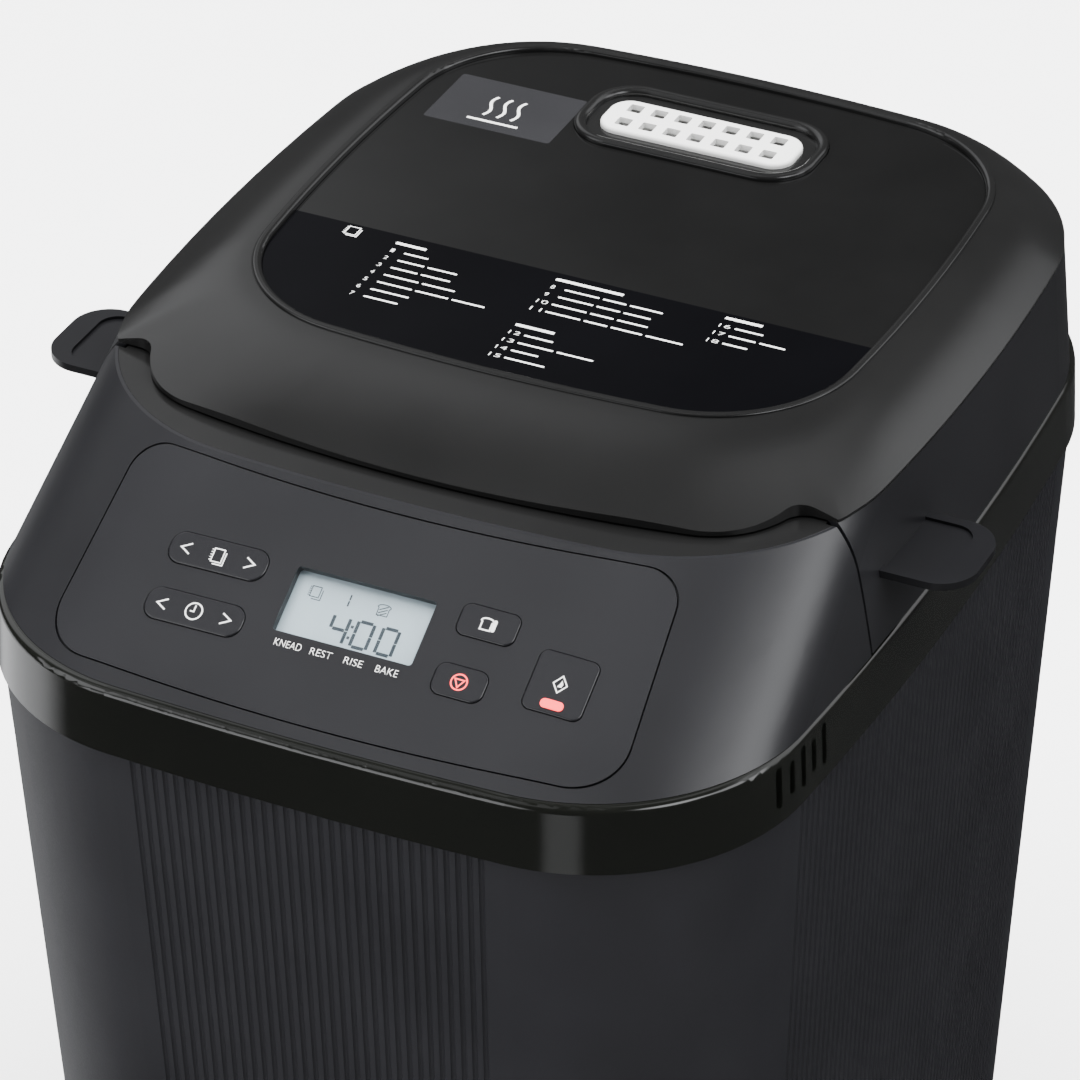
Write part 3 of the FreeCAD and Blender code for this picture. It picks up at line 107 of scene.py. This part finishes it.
def brushed(name, colour, roughness, stretch=(1.0, 1.0, 40.0)):
    """Metal with fine drawn lines."""
    item = plastic(name, colour, roughness, bump=0, Metallic=1.0)
    tree = item.node_tree
    shader = tree.nodes["Principled BSDF"]
    where = add_node(tree, "ShaderNodeTexCoord")
    squeeze = add_node(tree, "ShaderNodeMapping")
    squeeze.inputs["Scale"].default_value = stretch
    lines = add_node(tree, "ShaderNodeTexNoise")
    lines.inputs["Scale"].default_value = 60.0
    lines.inputs["Detail"].default_value = 6.0
    relief = add_node(tree, "ShaderNodeBump")
    relief.inputs["Strength"].default_value = 0.35
    relief.inputs["Distance"].default_value = 0.00003
    tree.links.new(where.outputs["Object"], squeeze.inputs["Vector"])
    tree.links.new(squeeze.outputs["Vector"], lines.inputs["Vector"])
    tree.links.new(lines.outputs["Fac"], relief.inputs["Height"])
    tree.links.new(relief.outputs["Normal"], shader.inputs["Normal"])
    return item


BODY = plastic("body_matt", (0.0074, 0.0074, 0.0092), 0.55, grain=1800.0, bump=0.00004,
               Specular_IOR_Level=0.2)
BAND = plastic("band_gloss", (0.0028, 0.0030, 0.0025), 0.10, rough_spread=0.03, bump=0)
TAB = plastic("tab_gloss", (0.004, 0.004, 0.0045), 0.3, rough_spread=0.03, bump=0,
              Specular_IOR_Level=0.2)
BASE = plastic("base_matt", (0.012, 0.012, 0.012), 0.6)
SATIN = plastic("housing_satin", (0.0054, 0.0054, 0.0062), 0.33, grain=3000.0, bump=0.00001)
OVERLAY = plastic("panel_matt", (0.0055, 0.0055, 0.0064), 0.42, grain=2600.0, bump=0.00003)
KEY = plastic("key_satin", (0.0055, 0.0055, 0.0064), 0.24, bump=0)
GLOSS = plastic("lid_gloss", (0.0045, 0.0045, 0.0045), 0.20, rough_spread=0.03, bump=0,
                Specular_IOR_Level=0.36)
PLATE = plastic("plate_gloss", (0.003, 0.003, 0.003), 0.09, rough_spread=0.02, bump=0)
LABEL = plastic("label_print", (0.0010, 0.0010, 0.0013), 0.2, rough_spread=0.02, bump=0,
                Specular_IOR_Level=0.08)
PATCH = plastic("patch_print", (0.010, 0.010, 0.011), 0.25, rough_spread=0.02, bump=0)
VENT_WHITE = plastic("vent_pale", (0.56, 0.56, 0.55), 0.38, spread=0.03)
PRINT = plastic("white_print", (0.56, 0.56, 0.55), 0.5, spread=0.03, bump=0)
SEGMENT = plastic("display_segment", (0.018, 0.026, 0.032), 0.5, bump=0)
LCD = plastic("display_ground", (0.24, 0.30, 0.33), 0.45, spread=0.04, mottle=60.0, bump=0)
RED = plastic("signal_red", (0.75, 0.03, 0.035), 0.3, spread=0.05, bump=0,
              Emission_Color=(1.0, 0.06, 0.07, 1.0), Emission_Strength=0.8)
LENS = plastic("display_cover", (0.02, 0.022, 0.024), 0.05, spread=0.02, rough_spread=0.01, bump=0,
               Alpha=0.07)
INNER = plastic("inner_black", (0.016, 0.016, 0.016), 0.5)
STEEL = brushed("plain_steel", (0.52, 0.53, 0.54), 0.33)
ALUMINIUM = brushed("brushed_aluminium", (0.68, 0.69, 0.70), 0.28, stretch=(1.0, 30.0, 1.0))
CHAMBER = plastic("chamber_coat", (0.15, 0.155, 0.16), 0.35, mottle=18.0, spread=0.2, Metallic=0.7)
PAN = plastic("non_stick", (0.035, 0.035, 0.037), 0.34, grain=4000.0, spread=0.2, Metallic=0.35)
HEATER = brushed("heat_tinted_steel", (0.20, 0.17, 0.15), 0.42)
SILICONE = plastic("silicone", (0.12, 0.115, 0.11), 0.55)
RUBBER = plastic("foot_rubber", (0.014, 0.014, 0.014), 0.75, bump=0.00006)
CIRCUIT = plastic("circuit_green", (0.015, 0.09, 0.035), 0.4, spread=0.3, mottle=200.0)
CORE = brushed("lamination_iron", (0.20, 0.20, 0.21), 0.5, stretch=(1.0, 1.0, 60.0))
BRASS = brushed("bearing_brass", (0.60, 0.42, 0.18), 0.35)
BELT = plastic("belt_rubber", (0.012, 0.012, 0.012), 0.7)

FINISH = {
    BODY: ["body_shell"],
    BAND: ["trim_band"],
    BASE: ["base_tray", "tact_switches", "run_capacitor", "board_components"],
    SATIN: ["control_housing", "lid_skirt"],
    TAB: ["lid_tabs"],
    OVERLAY: ["control_panel"],
    KEY: ["menu_key", "timer_key", "size_key", "stop_key", "start_key"],
    GLOSS: ["lid_shell", "front_shelf", "vent_bezel"],
    PLATE: ["lid_plate"],
    VENT_WHITE: ["vent_grille"],
    LCD: ["display_module"],
    LENS: ["display_lens"],
    RED: ["start_light"],
    INNER: ["chamber_deck", "lid_frame", "vent_duct", "lid_hinge_arms", "chassis_posts", "cord_gland"],
    STEEL: ["lid_screws", "hinge_bracket", "hinge_pins", "chassis_plate", "chamber_supports",
            "motor_lower_bracket", "motor_upper_bracket", "motor_rotor", "drive_spindle",
            "temperature_sensor", "pan_clips", "pan_handle", "blade_shaft"],
    ALUMINIUM: ["lid_liner", "motor_pulley", "drive_pulley", "pan_seat", "pan_base"],
    CHAMBER: ["chamber_tub"],
    PAN: ["bread_pan", "kneading_blade"],
    HEATER: ["heater_element"],
    SILICONE: ["lid_seal", "shaft_seal"],
    RUBBER: ["rubber_feet"],
    CIRCUIT: ["control_board", "power_board"],
    CORE: ["motor_stator"],
    BRASS: ["drive_bearing"],
    BELT: ["drive_belt"],
}
for finish, names in FINISH.items():
    for name in names:
        for slot in NODES[name].material_slots:
            slot.material = finish


# ---- drawing helpers ------------------------------------------------------------------------

def surface_of(name):
    """Ray-cast tree of a CAD node in the machine's frame."""
    shape = NODES[name]
    tree = bmesh.new()
    tree.from_mesh(shape.data)
    tree.transform(shape.matrix_world)
    found = BVHTree.FromBMesh(tree)
    tree.free()
    return found


def flat_outline(outlines):
    """Filled flat mesh from closed outlines in millimetres; inner outlines become holes."""
    curve = bpy.data.curves.new("outline", "CURVE")
    curve.dimensions = "2D"
    curve.fill_mode = "BOTH"
    for points in outlines:
        spline = curve.splines.new("POLY")
        spline.points.add(len(points) - 1)
        for point, (x, y) in zip(spline.points, points):
            point.co = (x, y, 0.0, 1.0)
        spline.use_cyclic_u = True
    return mesh_from(curve)


def mesh_from(curve):
    """Mesh of a curve or text, and the curve removed."""
    holder = bpy.data.objects.new("outline", curve)
    bpy.context.scene.collection.objects.link(holder)
    bpy.context.view_layer.update()
    graph = bpy.context.evaluated_depsgraph_get()
    mesh = bpy.data.meshes.new_from_object(holder.evaluated_get(graph))
    bpy.data.objects.remove(holder)
    return mesh


THINNED = -0.010


def lettering(text, left, right, baseline, height):
    """Flat mesh of a word between two sides, standing on a baseline, in millimetres."""
    curve = bpy.data.curves.new("word", "FONT")
    curve.body = text
    curve.size = 1.0
    curve.offset = THINNED
    mesh = mesh_from(curve)
    xs = [v.co.x for v in mesh.vertices]
    ys = [v.co.y for v in mesh.vertices]
    wide = (right - left) / (max(xs) - min(xs))
    tall = height / (max(ys) - min(ys))
    for vertex in mesh.vertices:
        vertex.co.x = left + (vertex.co.x - min(xs)) * wide
        vertex.co.y = baseline + vertex.co.y * tall
    return mesh


def stroke(points, width, closed=False):
    """Outlines of a line of even width through points: two when it is closed, else one."""
    count = len(points)
    left, right = [], []
    for index, (x, y) in enumerate(points):
        before = points[index - 1] if index or closed else points[index]
        after = points[(index + 1) % count] if index < count - 1 or closed else points[index]
        into = Vector((x - before[0], y - before[1]))
        out = Vector((after[0] - x, after[1] - y))
        into = into.normalized() if into.length else out.normalized()
        out = out.normalized() if out.length else into
        normal = Vector((-(into.y + out.y), into.x + out.x))
        normal = normal.normalized() if normal.length > 1e-6 else Vector((-into.y, into.x))
        reach = width / 2 / max(normal.dot(Vector((-into.y, into.x))), 0.4)
        left.append((x + normal.x * reach, y + normal.y * reach))
        right.append((x - normal.x * reach, y - normal.y * reach))
    if closed:
        return [left, right]
    return [left + right[::-1]]


def ring(x, y, radius, width, count=40):
    """Outer and inner outlines of a round line."""
    turns = [2 * math.pi * index / count for index in range(count)]
    return [[(x + r * math.cos(t), y + r * math.sin(t)) for t in turns]
            for r in (radius + width / 2, radius - width / 2)]


def bar(left, right, low, high, round_by=0.0):
    """Rectangle outline with optionally rounded corners."""
    if not round_by:
        return [[(left, low), (right, low), (right, high), (left, high)]]
    points = []
    corners = (
        (right - round_by, low + round_by, -90),
        (right - round_by, high - round_by, 0),
        (left + round_by, high - round_by, 90),
        (left + round_by, low + round_by, 180),
    )
    for cx, cy, start in corners:
        for step in range(5):
            angle = math.radians(start + step * 22.5)
            points.append((cx + round_by * math.cos(angle), cy + round_by * math.sin(angle)))
    return [points]


def placed(name, mesh, finish):
    """New piece in the scene for a mesh, with its finish."""
    piece = bpy.data.objects.new(name, mesh)
    bpy.context.scene.collection.objects.link(piece)
    mesh.materials.append(finish)
    return piece


def thickened(piece, thickness):
    """Thickness for a flat piece, grown inwards from its drawn face."""
    growth = piece.modifiers.new("thickness", "SOLIDIFY")
    growth.thickness = thickness
    growth.offset = -1.0


def print_on(name, meshes, surface, body, finish, drawing, lift=0.03):
    """Thin printed piece laid on a surface, following it from a flat drawing in millimetres."""
    origin, along, up, out = drawing
    shape = bmesh.new()
    for mesh in meshes:
        shape.from_mesh(mesh)
        bpy.data.meshes.remove(mesh)
    bmesh.ops.remove_doubles(shape, verts=shape.verts, dist=1e-5)
    for vertex in shape.verts:
        start = origin + (along * vertex.co.x + up * vertex.co.y) * MM + out * RAY_START
        hit = surface.ray_cast(start, -out, RAY_REACH)[0]
        if hit is None:
            raise RuntimeError("%s misses its surface" % name)
        vertex.co = hit + out * (lift * MM)
    bmesh.ops.recalc_face_normals(shape, faces=shape.faces)
    top = [face for face in shape.faces if face.normal.dot(out) < 0]
    bmesh.ops.reverse_faces(shape, faces=top)
    mesh = bpy.data.meshes.new(name)
    shape.to_mesh(mesh)
    shape.free()
    piece = placed(name, mesh, finish)
    thickened(piece, (lift + PRINT_DEPTH) * MM)
    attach(piece, body)


def on_panel(name, meshes, surface, body, finish=PRINT):
    """Print on the control panel, a key or the display."""
    print_on(name, meshes, surface, body, finish, PANEL_DRAWING)


def on_plate(name, meshes, surface, lift, finish=PRINT):
    """Print on the lid plate."""
    print_on(name, meshes, surface, "lid", finish, PLATE_DRAWING, lift)


def chevrons(x, y, spread=9.6, half=1.55):
    """A pair of arrows pointing away from a middle."""
    marks = []
    for side in (-1, 1):
        tip = x + side * (spread + half * 0.9)
        root = x + side * (spread - half * 0.9)
        marks += stroke([(root, y + half), (tip, y), (root, y - half)], 0.42)
    return marks


def around(middle, *offsets):
    """Points given by their offsets from a middle."""
    return [(middle[0] + right, middle[1] + up) for right, up in offsets]


def book_icon(x, y, half_w=1.5, half_h=1.9, line=0.32):
    """Two stacked sheets with a row of binding notches."""
    marks = stroke([(x - half_w, y - half_h), (x + half_w, y - half_h), (x + half_w, y + half_h),
                    (x - half_w, y + half_h)], line, closed=True)
    marks += stroke([(x - half_w + 0.7, y - half_h - 0.65), (x + half_w + 0.65, y - half_h - 0.65),
                     (x + half_w + 0.65, y + half_h - 0.7)], line)
    for step in range(5):
        level = y - half_h + (step + 0.5) * half_h * 0.4
        marks += bar(x - half_w - 0.7, x - half_w - 0.2, level - 0.12, level + 0.12)
    return marks


def loaf_outline(x, y, half_w, half_h):
    """Outline of a tin loaf seen from its end: straight sides under a round crown."""
    crown = half_h * 0.55
    side = half_w * 0.8
    points = [(x - side, y - half_h), (x + side, y - half_h), (x + side, y + crown * 0.3)]
    for step in range(9):
        angle = math.pi * step / 8
        points.append((x + half_w * math.cos(angle), y + crown * 0.6 + crown * 0.8 * math.sin(angle)))
    points.append((x - side, y + crown * 0.3))
    return points


# ---- marks on the control panel -------------------------------------------------------------

# Middles of the keys' marks, in millimetres.
MENU, TIMER = (-43.6, 9.0), (-43.6, -7.8)
SIZE, STOP, START = (35.3, 9.7), (34.0, -7.8), (60.0, -1.0)

keys = {name: surface_of(name + "_key") for name in ("menu", "timer", "size", "stop", "start")}

# choice of programme: arrows each side of a book
on_panel("menu_marks", [flat_outline(chevrons(*MENU)), flat_outline(book_icon(*MENU))], keys["menu"],
         "menu_button")

# timer: arrows each side of a clock
clock = ring(*TIMER, 2.35, 0.42)
hands = stroke(around(TIMER, (0, 1.7), (0, -0.1), (-1.1, -0.1)), 0.4)
on_panel("timer_marks", [flat_outline(chevrons(*TIMER)), flat_outline(clock), flat_outline(hands)],
         keys["timer"], "timer_button")

# loaf size: the end of a loaf and its side
loaf = stroke(loaf_outline(SIZE[0] - 0.4, SIZE[1] + 0.1, 1.75, 1.9), 0.4, closed=True)
loaf_side = bar(SIZE[0] + 1.25, SIZE[0] + 2.3, SIZE[1] - 1.9, SIZE[1] + 1.5, 0.4)
on_panel("size_marks", [flat_outline(loaf), flat_outline(loaf_side)], keys["size"], "size_button")

# stop: a triangle in a ring, printed in the start light's glowing red, so this print carries a painted
# glow
triangle = stroke(around(STOP, (-1.35, 0.75), (1.35, 0.75), (0, -1.5)), 0.4, closed=True)
on_panel("stop_marks", [flat_outline(ring(*STOP, 2.2, 0.45)), flat_outline(triangle)],
         keys["stop"], "stop_button", finish=RED)

# start: a small flame in a diamond
diamond = stroke(around(START, (0, 2.4), (1.9, 0), (0, -2.4), (-1.9, 0)), 0.35, closed=True)
flame = around(START, (-0.6, -0.8), (0.5, -0.8), (0.8, 0.1), (0.2, 1.2), (-0.1, 0.2))
on_panel("start_marks", [flat_outline(diamond), flat_outline([flame])], keys["start"], "start_button")

# stage words under the display: text, left end and right end
WORDS = (("KNEAD", -18.8, -10.9), ("REST", -8.3, -2.0), ("RISE", 1.6, 7.0), ("BAKE", 10.8, 17.2))
WORD_BASELINE, WORD_HEIGHT = -11.0, 2.0
stage_words = [lettering(text, left, right, WORD_BASELINE, WORD_HEIGHT) for text, left, right in WORDS]
on_panel("stage_words", stage_words, surface_of("control_panel"), "machine")


# ---- display --------------------------------------------------------------------------------

DISPLAY_LEFT, DISPLAY_TOP = -20.7, 12.1
DISPLAY_WIDE, DISPLAY_TALL = 40.3, 18.9
SIGN_ROW, FIGURE_ROW, UNDERLINE_ROW = 0.25, 0.70, 0.965


def on_display(u, v):
    """Panel coordinates of a point given as shares of the display's width and height."""
    return DISPLAY_LEFT + u * DISPLAY_WIDE, DISPLAY_TOP - v * DISPLAY_TALL


def digit(x, y, lit, half_w=2.3, half_h=3.7, width=0.95, gap=0.1, corner=0.1):
    """Seven-segment figure about its middle."""
    ends = {
        "a": ((-half_w, half_h), (half_w, half_h)),
        "b": ((half_w, 0), (half_w, half_h)),
        "c": ((half_w, -half_h), (half_w, 0)),
        "d": ((-half_w, -half_h), (half_w, -half_h)),
        "e": ((-half_w, -half_h), (-half_w, 0)),
        "f": ((-half_w, 0), (-half_w, half_h)),
        "g": ((-half_w, 0), (half_w, 0)),
    }
    inset = gap + width / 2
    marks = []
    for name in lit:
        (x0, y0), (x1, y1) = ends[name]
        if y0 == y1:
            marks += bar(x + x0 + inset, x + x1 - inset, y + y0 - width / 2, y + y0 + width / 2, corner)
        else:
            marks += bar(x + x0 - width / 2, x + x0 + width / 2, y + y0 + gap, y + y1 - gap, corner)
    return marks


FOUR, ZERO = "fgbc", "abcdef"
FIGURES = ((0.395, FOUR), (0.57, ZERO), (0.75, ZERO))
segments = [digit(*on_display(share, FIGURE_ROW), lit) for share, lit in FIGURES]
colon_x, colon_y = on_display(0.482, FIGURE_ROW)
for rise in (-1.6, 1.6):
    segments.append(bar(colon_x - 0.4, colon_x + 0.4, colon_y + rise - 0.4, colon_y + rise + 0.4))
one_x, one_y = on_display(0.392, SIGN_ROW)
for low, high in ((-1.7, -0.15), (0.15, 1.7)):
    segments.append(bar(one_x - 0.22, one_x + 0.22, one_y + low, one_y + high))
segments.append(book_icon(*on_display(0.145, SIGN_ROW), 1.3, 1.5, 0.25))
crust = on_display(0.64, SIGN_ROW)
segments.append(stroke(loaf_outline(*crust, 1.9, 1.8), 0.25, closed=True))
for rise in (-0.9, 0.0, 0.9):
    segments.append(stroke(around(crust, (-1.2, -1.2 + rise), (1.1, 0.1 + rise)), 0.3))
under_left, under_y = on_display(0.335, UNDERLINE_ROW)
under_right = on_display(0.53, UNDERLINE_ROW)[0]
segments.append(bar(under_left, under_right, under_y - 0.2, under_y + 0.2))
on_panel("display_figures", [flat_outline(outlines) for outlines in segments],
         surface_of("display_module"), "machine", finish=SEGMENT)


# ---- lid plate ------------------------------------------------------------------------------

LABEL_BACK = 0.0187
LEVEL_TOLERANCE = 0.0002


def front_of_top(node_name, back, lift):
    """Copy of a node's topmost faces in front of a line across the machine, raised a little."""
    shape = bmesh.new()
    shape.from_mesh(NODES[node_name].data)
    shape.transform(NODES[node_name].matrix_world)
    level = max(vertex.co.z for vertex in shape.verts) - LEVEL_TOLERANCE
    spare = [face for face in shape.faces if face.normal.z < 0.9 or face.calc_center_median().z < level]
    bmesh.ops.delete(shape, geom=spare, context="FACES")
    bmesh.ops.remove_doubles(shape, verts=shape.verts, dist=1e-7)
    geometry = shape.verts[:] + shape.edges[:] + shape.faces[:]
    bmesh.ops.bisect_plane(shape, geom=geometry, plane_co=(0, back, 0), plane_no=(0, 1, 0),
                           clear_outer=True)
    for vertex in shape.verts:
        vertex.co.z += lift
    return shape


# dark label band across the front of the plate
label_shape = front_of_top("lid_plate", LABEL_BACK, LABEL_LIFT)
label_mesh = bpy.data.meshes.new("label_band")
label_shape.to_mesh(label_mesh)
label_shape.free()
label = placed("label_band", label_mesh, LABEL)
thickened(label, LABEL_THICKNESS)
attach(label, "lid")

# programme list: left, top, length of the heading, first number, and the word lengths of each row
COLUMNS = (
    (-52.6, 14.6, 9.3, 1,
     ((7.4,), (8.2, 9.0), (8.2, 8.9), (10.6, 10.0), (10.6, 10.0, 10.0), (11.7,), (10.4,))),
    (-3.9, 15.6, 20.4, 8,
     ((10.5, 7.0, 9.8), (10.5, 7.0, 8.1), (10.5, 7.0, 9.1), (10.5, 7.0, 9.3, 11.0))),
    (-3.7, -10.5, 11.6, 12, ((8.6,), (10.6, 10.8), (8.1,), (11.9,))),
    (46.6, 16.6, 11.0, 16, ((8.4,), (8.0, 7.6), (7.3,))),
)
ROW_PITCH = 4.15
NUMBER_HEIGHT = 1.75
ONE_FIGURE, TWO_FIGURES, FIGURE_INDENT = 1.5, 3.3, 0.4
BARS_LEFT, BARS_RISE, BAR_HEIGHT, BAR_SPACE = 4.6, 0.25, 0.8, 1.1


def word_bars(left, baseline, lengths):
    """Row of short bars standing for words."""
    marks = []
    for length in lengths:
        marks += bar(left, left + length, baseline + 0.1, baseline + BAR_HEIGHT, 0.25)
        left += length + BAR_SPACE
    return marks


marks = []
for left, top, head, first, rows in COLUMNS:
    marks.append(flat_outline(bar(left, left + head, top + 0.2, top + 1.4, 0.2)))
    for index, lengths in enumerate(rows):
        number = str(first + index)
        baseline = top - ROW_PITCH * (index + 1)
        two_figures = len(number) == 2
        right = left + (TWO_FIGURES if two_figures else ONE_FIGURE)
        indent = 0.0 if two_figures else FIGURE_INDENT
        marks.append(lettering(number, left + indent, right, baseline, NUMBER_HEIGHT))
        marks.append(flat_outline(word_bars(left + BARS_LEFT, baseline + BARS_RISE, lengths)))
marks.append(flat_outline(book_icon(-66.6, 16.2, 1.7, 2.0, 0.32)))
plate_surface = surface_of("lid_plate")
on_plate("programme_marks", marks, plate_surface, lift=0.05)

# plain patch with three rising lines of steam over a base line
STEAM_MIDDLE, STEAM_PITCH = -58.0, 4.4
STEAM_LOW, STEAM_TALL, STEAM_SWAY = 90.5, 11.0, 0.9
STEAM_STEPS = 12
patch = flat_outline(bar(-78.0, -38.0, 83.0, 110.0, 1.0))
on_plate("steam_patch", [patch], plate_surface, lift=0.02, finish=PATCH)
steam = []
for column in (-1, 0, 1):
    points = []
    for step in range(STEAM_STEPS + 1):
        share = step / STEAM_STEPS
        sway = STEAM_SWAY * math.sin(share * 2 * math.pi)
        points.append((STEAM_MIDDLE + column * STEAM_PITCH + sway, STEAM_LOW + share * STEAM_TALL))
    steam.append(flat_outline(stroke(points, 0.9)))
steam.append(flat_outline(bar(-66.0, -50.0, 87.0, 88.0)))
on_plate("steam_marks", steam, plate_surface, lift=0.04)


# ---- floor, light and camera ----------------------------------------------------------------

scene = bpy.context.scene
FLOOR_HALF = 6
floor_corners = [(x * FLOOR_HALF, y * FLOOR_HALF, 0) for x, y in ((-1, -1), (1, -1), (1, 1), (-1, 1))]
floor_mesh = bpy.data.meshes.new("floor")
floor_mesh.from_pydata(floor_corners, [], [(0, 1, 2, 3)])
floor = placed("floor", floor_mesh, plastic("pale_floor", (0.9, 0.9, 0.9), 0.7, spread=0.01, bump=0))
floor.visible_glossy = False

world = bpy.data.worlds.new("studio")
scene.world = world
world.use_nodes = True
sky = world.node_tree
sky_coordinates = add_node(sky, "ShaderNodeTexCoord")


def lobe(direction, inner, outer, strength):
    """Soft round patch of light in the studio's surroundings, by direction and two angles."""
    angle = add_node(sky, "ShaderNodeVectorMath", operation="DOT_PRODUCT")
    angle.inputs[1].default_value = Vector(direction).normalized()
    fade = add_node(sky, "ShaderNodeMapRange", interpolation_type="SMOOTHSTEP")
    fade.inputs["From Min"].default_value = math.cos(math.radians(outer))
    fade.inputs["From Max"].default_value = math.cos(math.radians(inner))
    fade.inputs["To Max"].default_value = strength
    sky.links.new(sky_coordinates.outputs["Generated"], angle.inputs[0])
    sky.links.new(angle.outputs["Value"], fade.inputs["Value"])
    return fade.outputs["Result"]


def summed(first, second):
    """Sum of two sockets."""
    total = add_node(sky, "ShaderNodeMath", operation="ADD")
    sky.links.new(first, total.inputs[0])
    sky.links.new(second, total.inputs[1])
    return total.outputs["Value"]


# Patches of light: direction, inner and outer angle in degrees, strength.
PATCHES = (
    ((-0.30, -0.32, 0.90), 10, 32, 0.72),
    ((0.05, 0.50, 0.86), 4, 20, 0.8),
    ((-0.68, 0.47, 0.58), 12, 27, 1.3),
    ((-0.85, 0.10, -0.50), 12, 34, 2.0),
    ((0.72, -0.33, 0.60), 4, 20, 8.0),
    ((0.90, 0.12, 0.45), 8, 20, 5.0),
    ((0.60, 0.60, 0.55), 12, 30, 2.0),
    ((0.13, -0.81, -0.55), 4, 10, 0.9),
    ((-0.36, -0.92, -0.12), 6, 20, 4.0),
    ((-0.66, -0.57, 0.45), 6, 24, 3.0),
)
DARK_LEVEL = 0.07
BACKDROP_LEVEL = 0.95
surroundings = lobe(*PATCHES[0])
for patch_of_light in PATCHES[1:]:
    surroundings = summed(surroundings, lobe(*patch_of_light))
dim = add_node(sky, "ShaderNodeMath", operation="ADD")
dim.inputs[1].default_value = DARK_LEVEL
sky.links.new(surroundings, dim.inputs[0])
rays = add_node(sky, "ShaderNodeLightPath")
seen = add_node(sky, "ShaderNodeMix")
seen.inputs["B"].default_value = BACKDROP_LEVEL
sky.links.new(rays.outputs["Is Camera Ray"], seen.inputs["Factor"])
sky.links.new(dim.outputs["Value"], seen.inputs["A"])
sky.links.new(seen.outputs["Result"], sky.nodes["Background"].inputs["Strength"])
sky.nodes["Background"].inputs["Color"].default_value = (0.97, 0.98, 1.0, 1.0)

# Area lights: name, place, width, height and power.
MIDDLE = Vector((0.0, 0.0, 0.28))
LIGHTS = (
    ("key_left", (-1.5, -1.3, 1.3), 1.0, 1.4, 24.0),
    ("front_fill", (-0.9, -2.2, 0.9), 1.2, 1.2, 26.0),
    ("top_soft", (0.0, 0.5, 3.0), 4.0, 4.0, 760.0),
)
for name, place, width, height, power in LIGHTS:
    lamp = bpy.data.lights.new(name, "AREA")
    lamp.shape = "RECTANGLE"
    lamp.size = width
    lamp.size_y = height
    lamp.energy = power
    light = bpy.data.objects.new(name, lamp)
    light.location = place
    light.visible_glossy = False
    light.rotation_euler = (MIDDLE - Vector(place)).to_track_quat("-Z", "Y").to_euler()
    scene.collection.objects.link(light)

# Camera: angles in degrees, then the point it faces and its distance from it.
AZIMUTH, ELEVATION, ROLL = (math.radians(angle) for angle in (25.738, 33.514, -0.450))
TARGET = Vector((0.0017, -0.0109, 0.277))
DISTANCE = 1.6647
back = Vector((math.sin(AZIMUTH) * math.cos(ELEVATION), -math.cos(AZIMUTH) * math.cos(ELEVATION),
               math.sin(ELEVATION)))
right = Vector((math.cos(AZIMUTH), math.sin(AZIMUTH), 0.0))
up = back.cross(right)
rolled_right = right * math.cos(ROLL) + up * math.sin(ROLL)
rolled_up = up * math.cos(ROLL) - right * math.sin(ROLL)
place = TARGET + back * DISTANCE
lens = bpy.data.cameras.new("camera")
lens.lens = 200.0
lens.sensor_width = 36.0
lens.clip_start = 0.05
camera = bpy.data.objects.new("camera", lens)
camera.matrix_world = Matrix((
    (rolled_right.x, rolled_up.x, back.x, place.x),
    (rolled_right.y, rolled_up.y, back.y, place.y),
    (rolled_right.z, rolled_up.z, back.z, place.z),
    (0.0, 0.0, 0.0, 1.0),
))
scene.collection.objects.link(camera)
scene.camera = camera
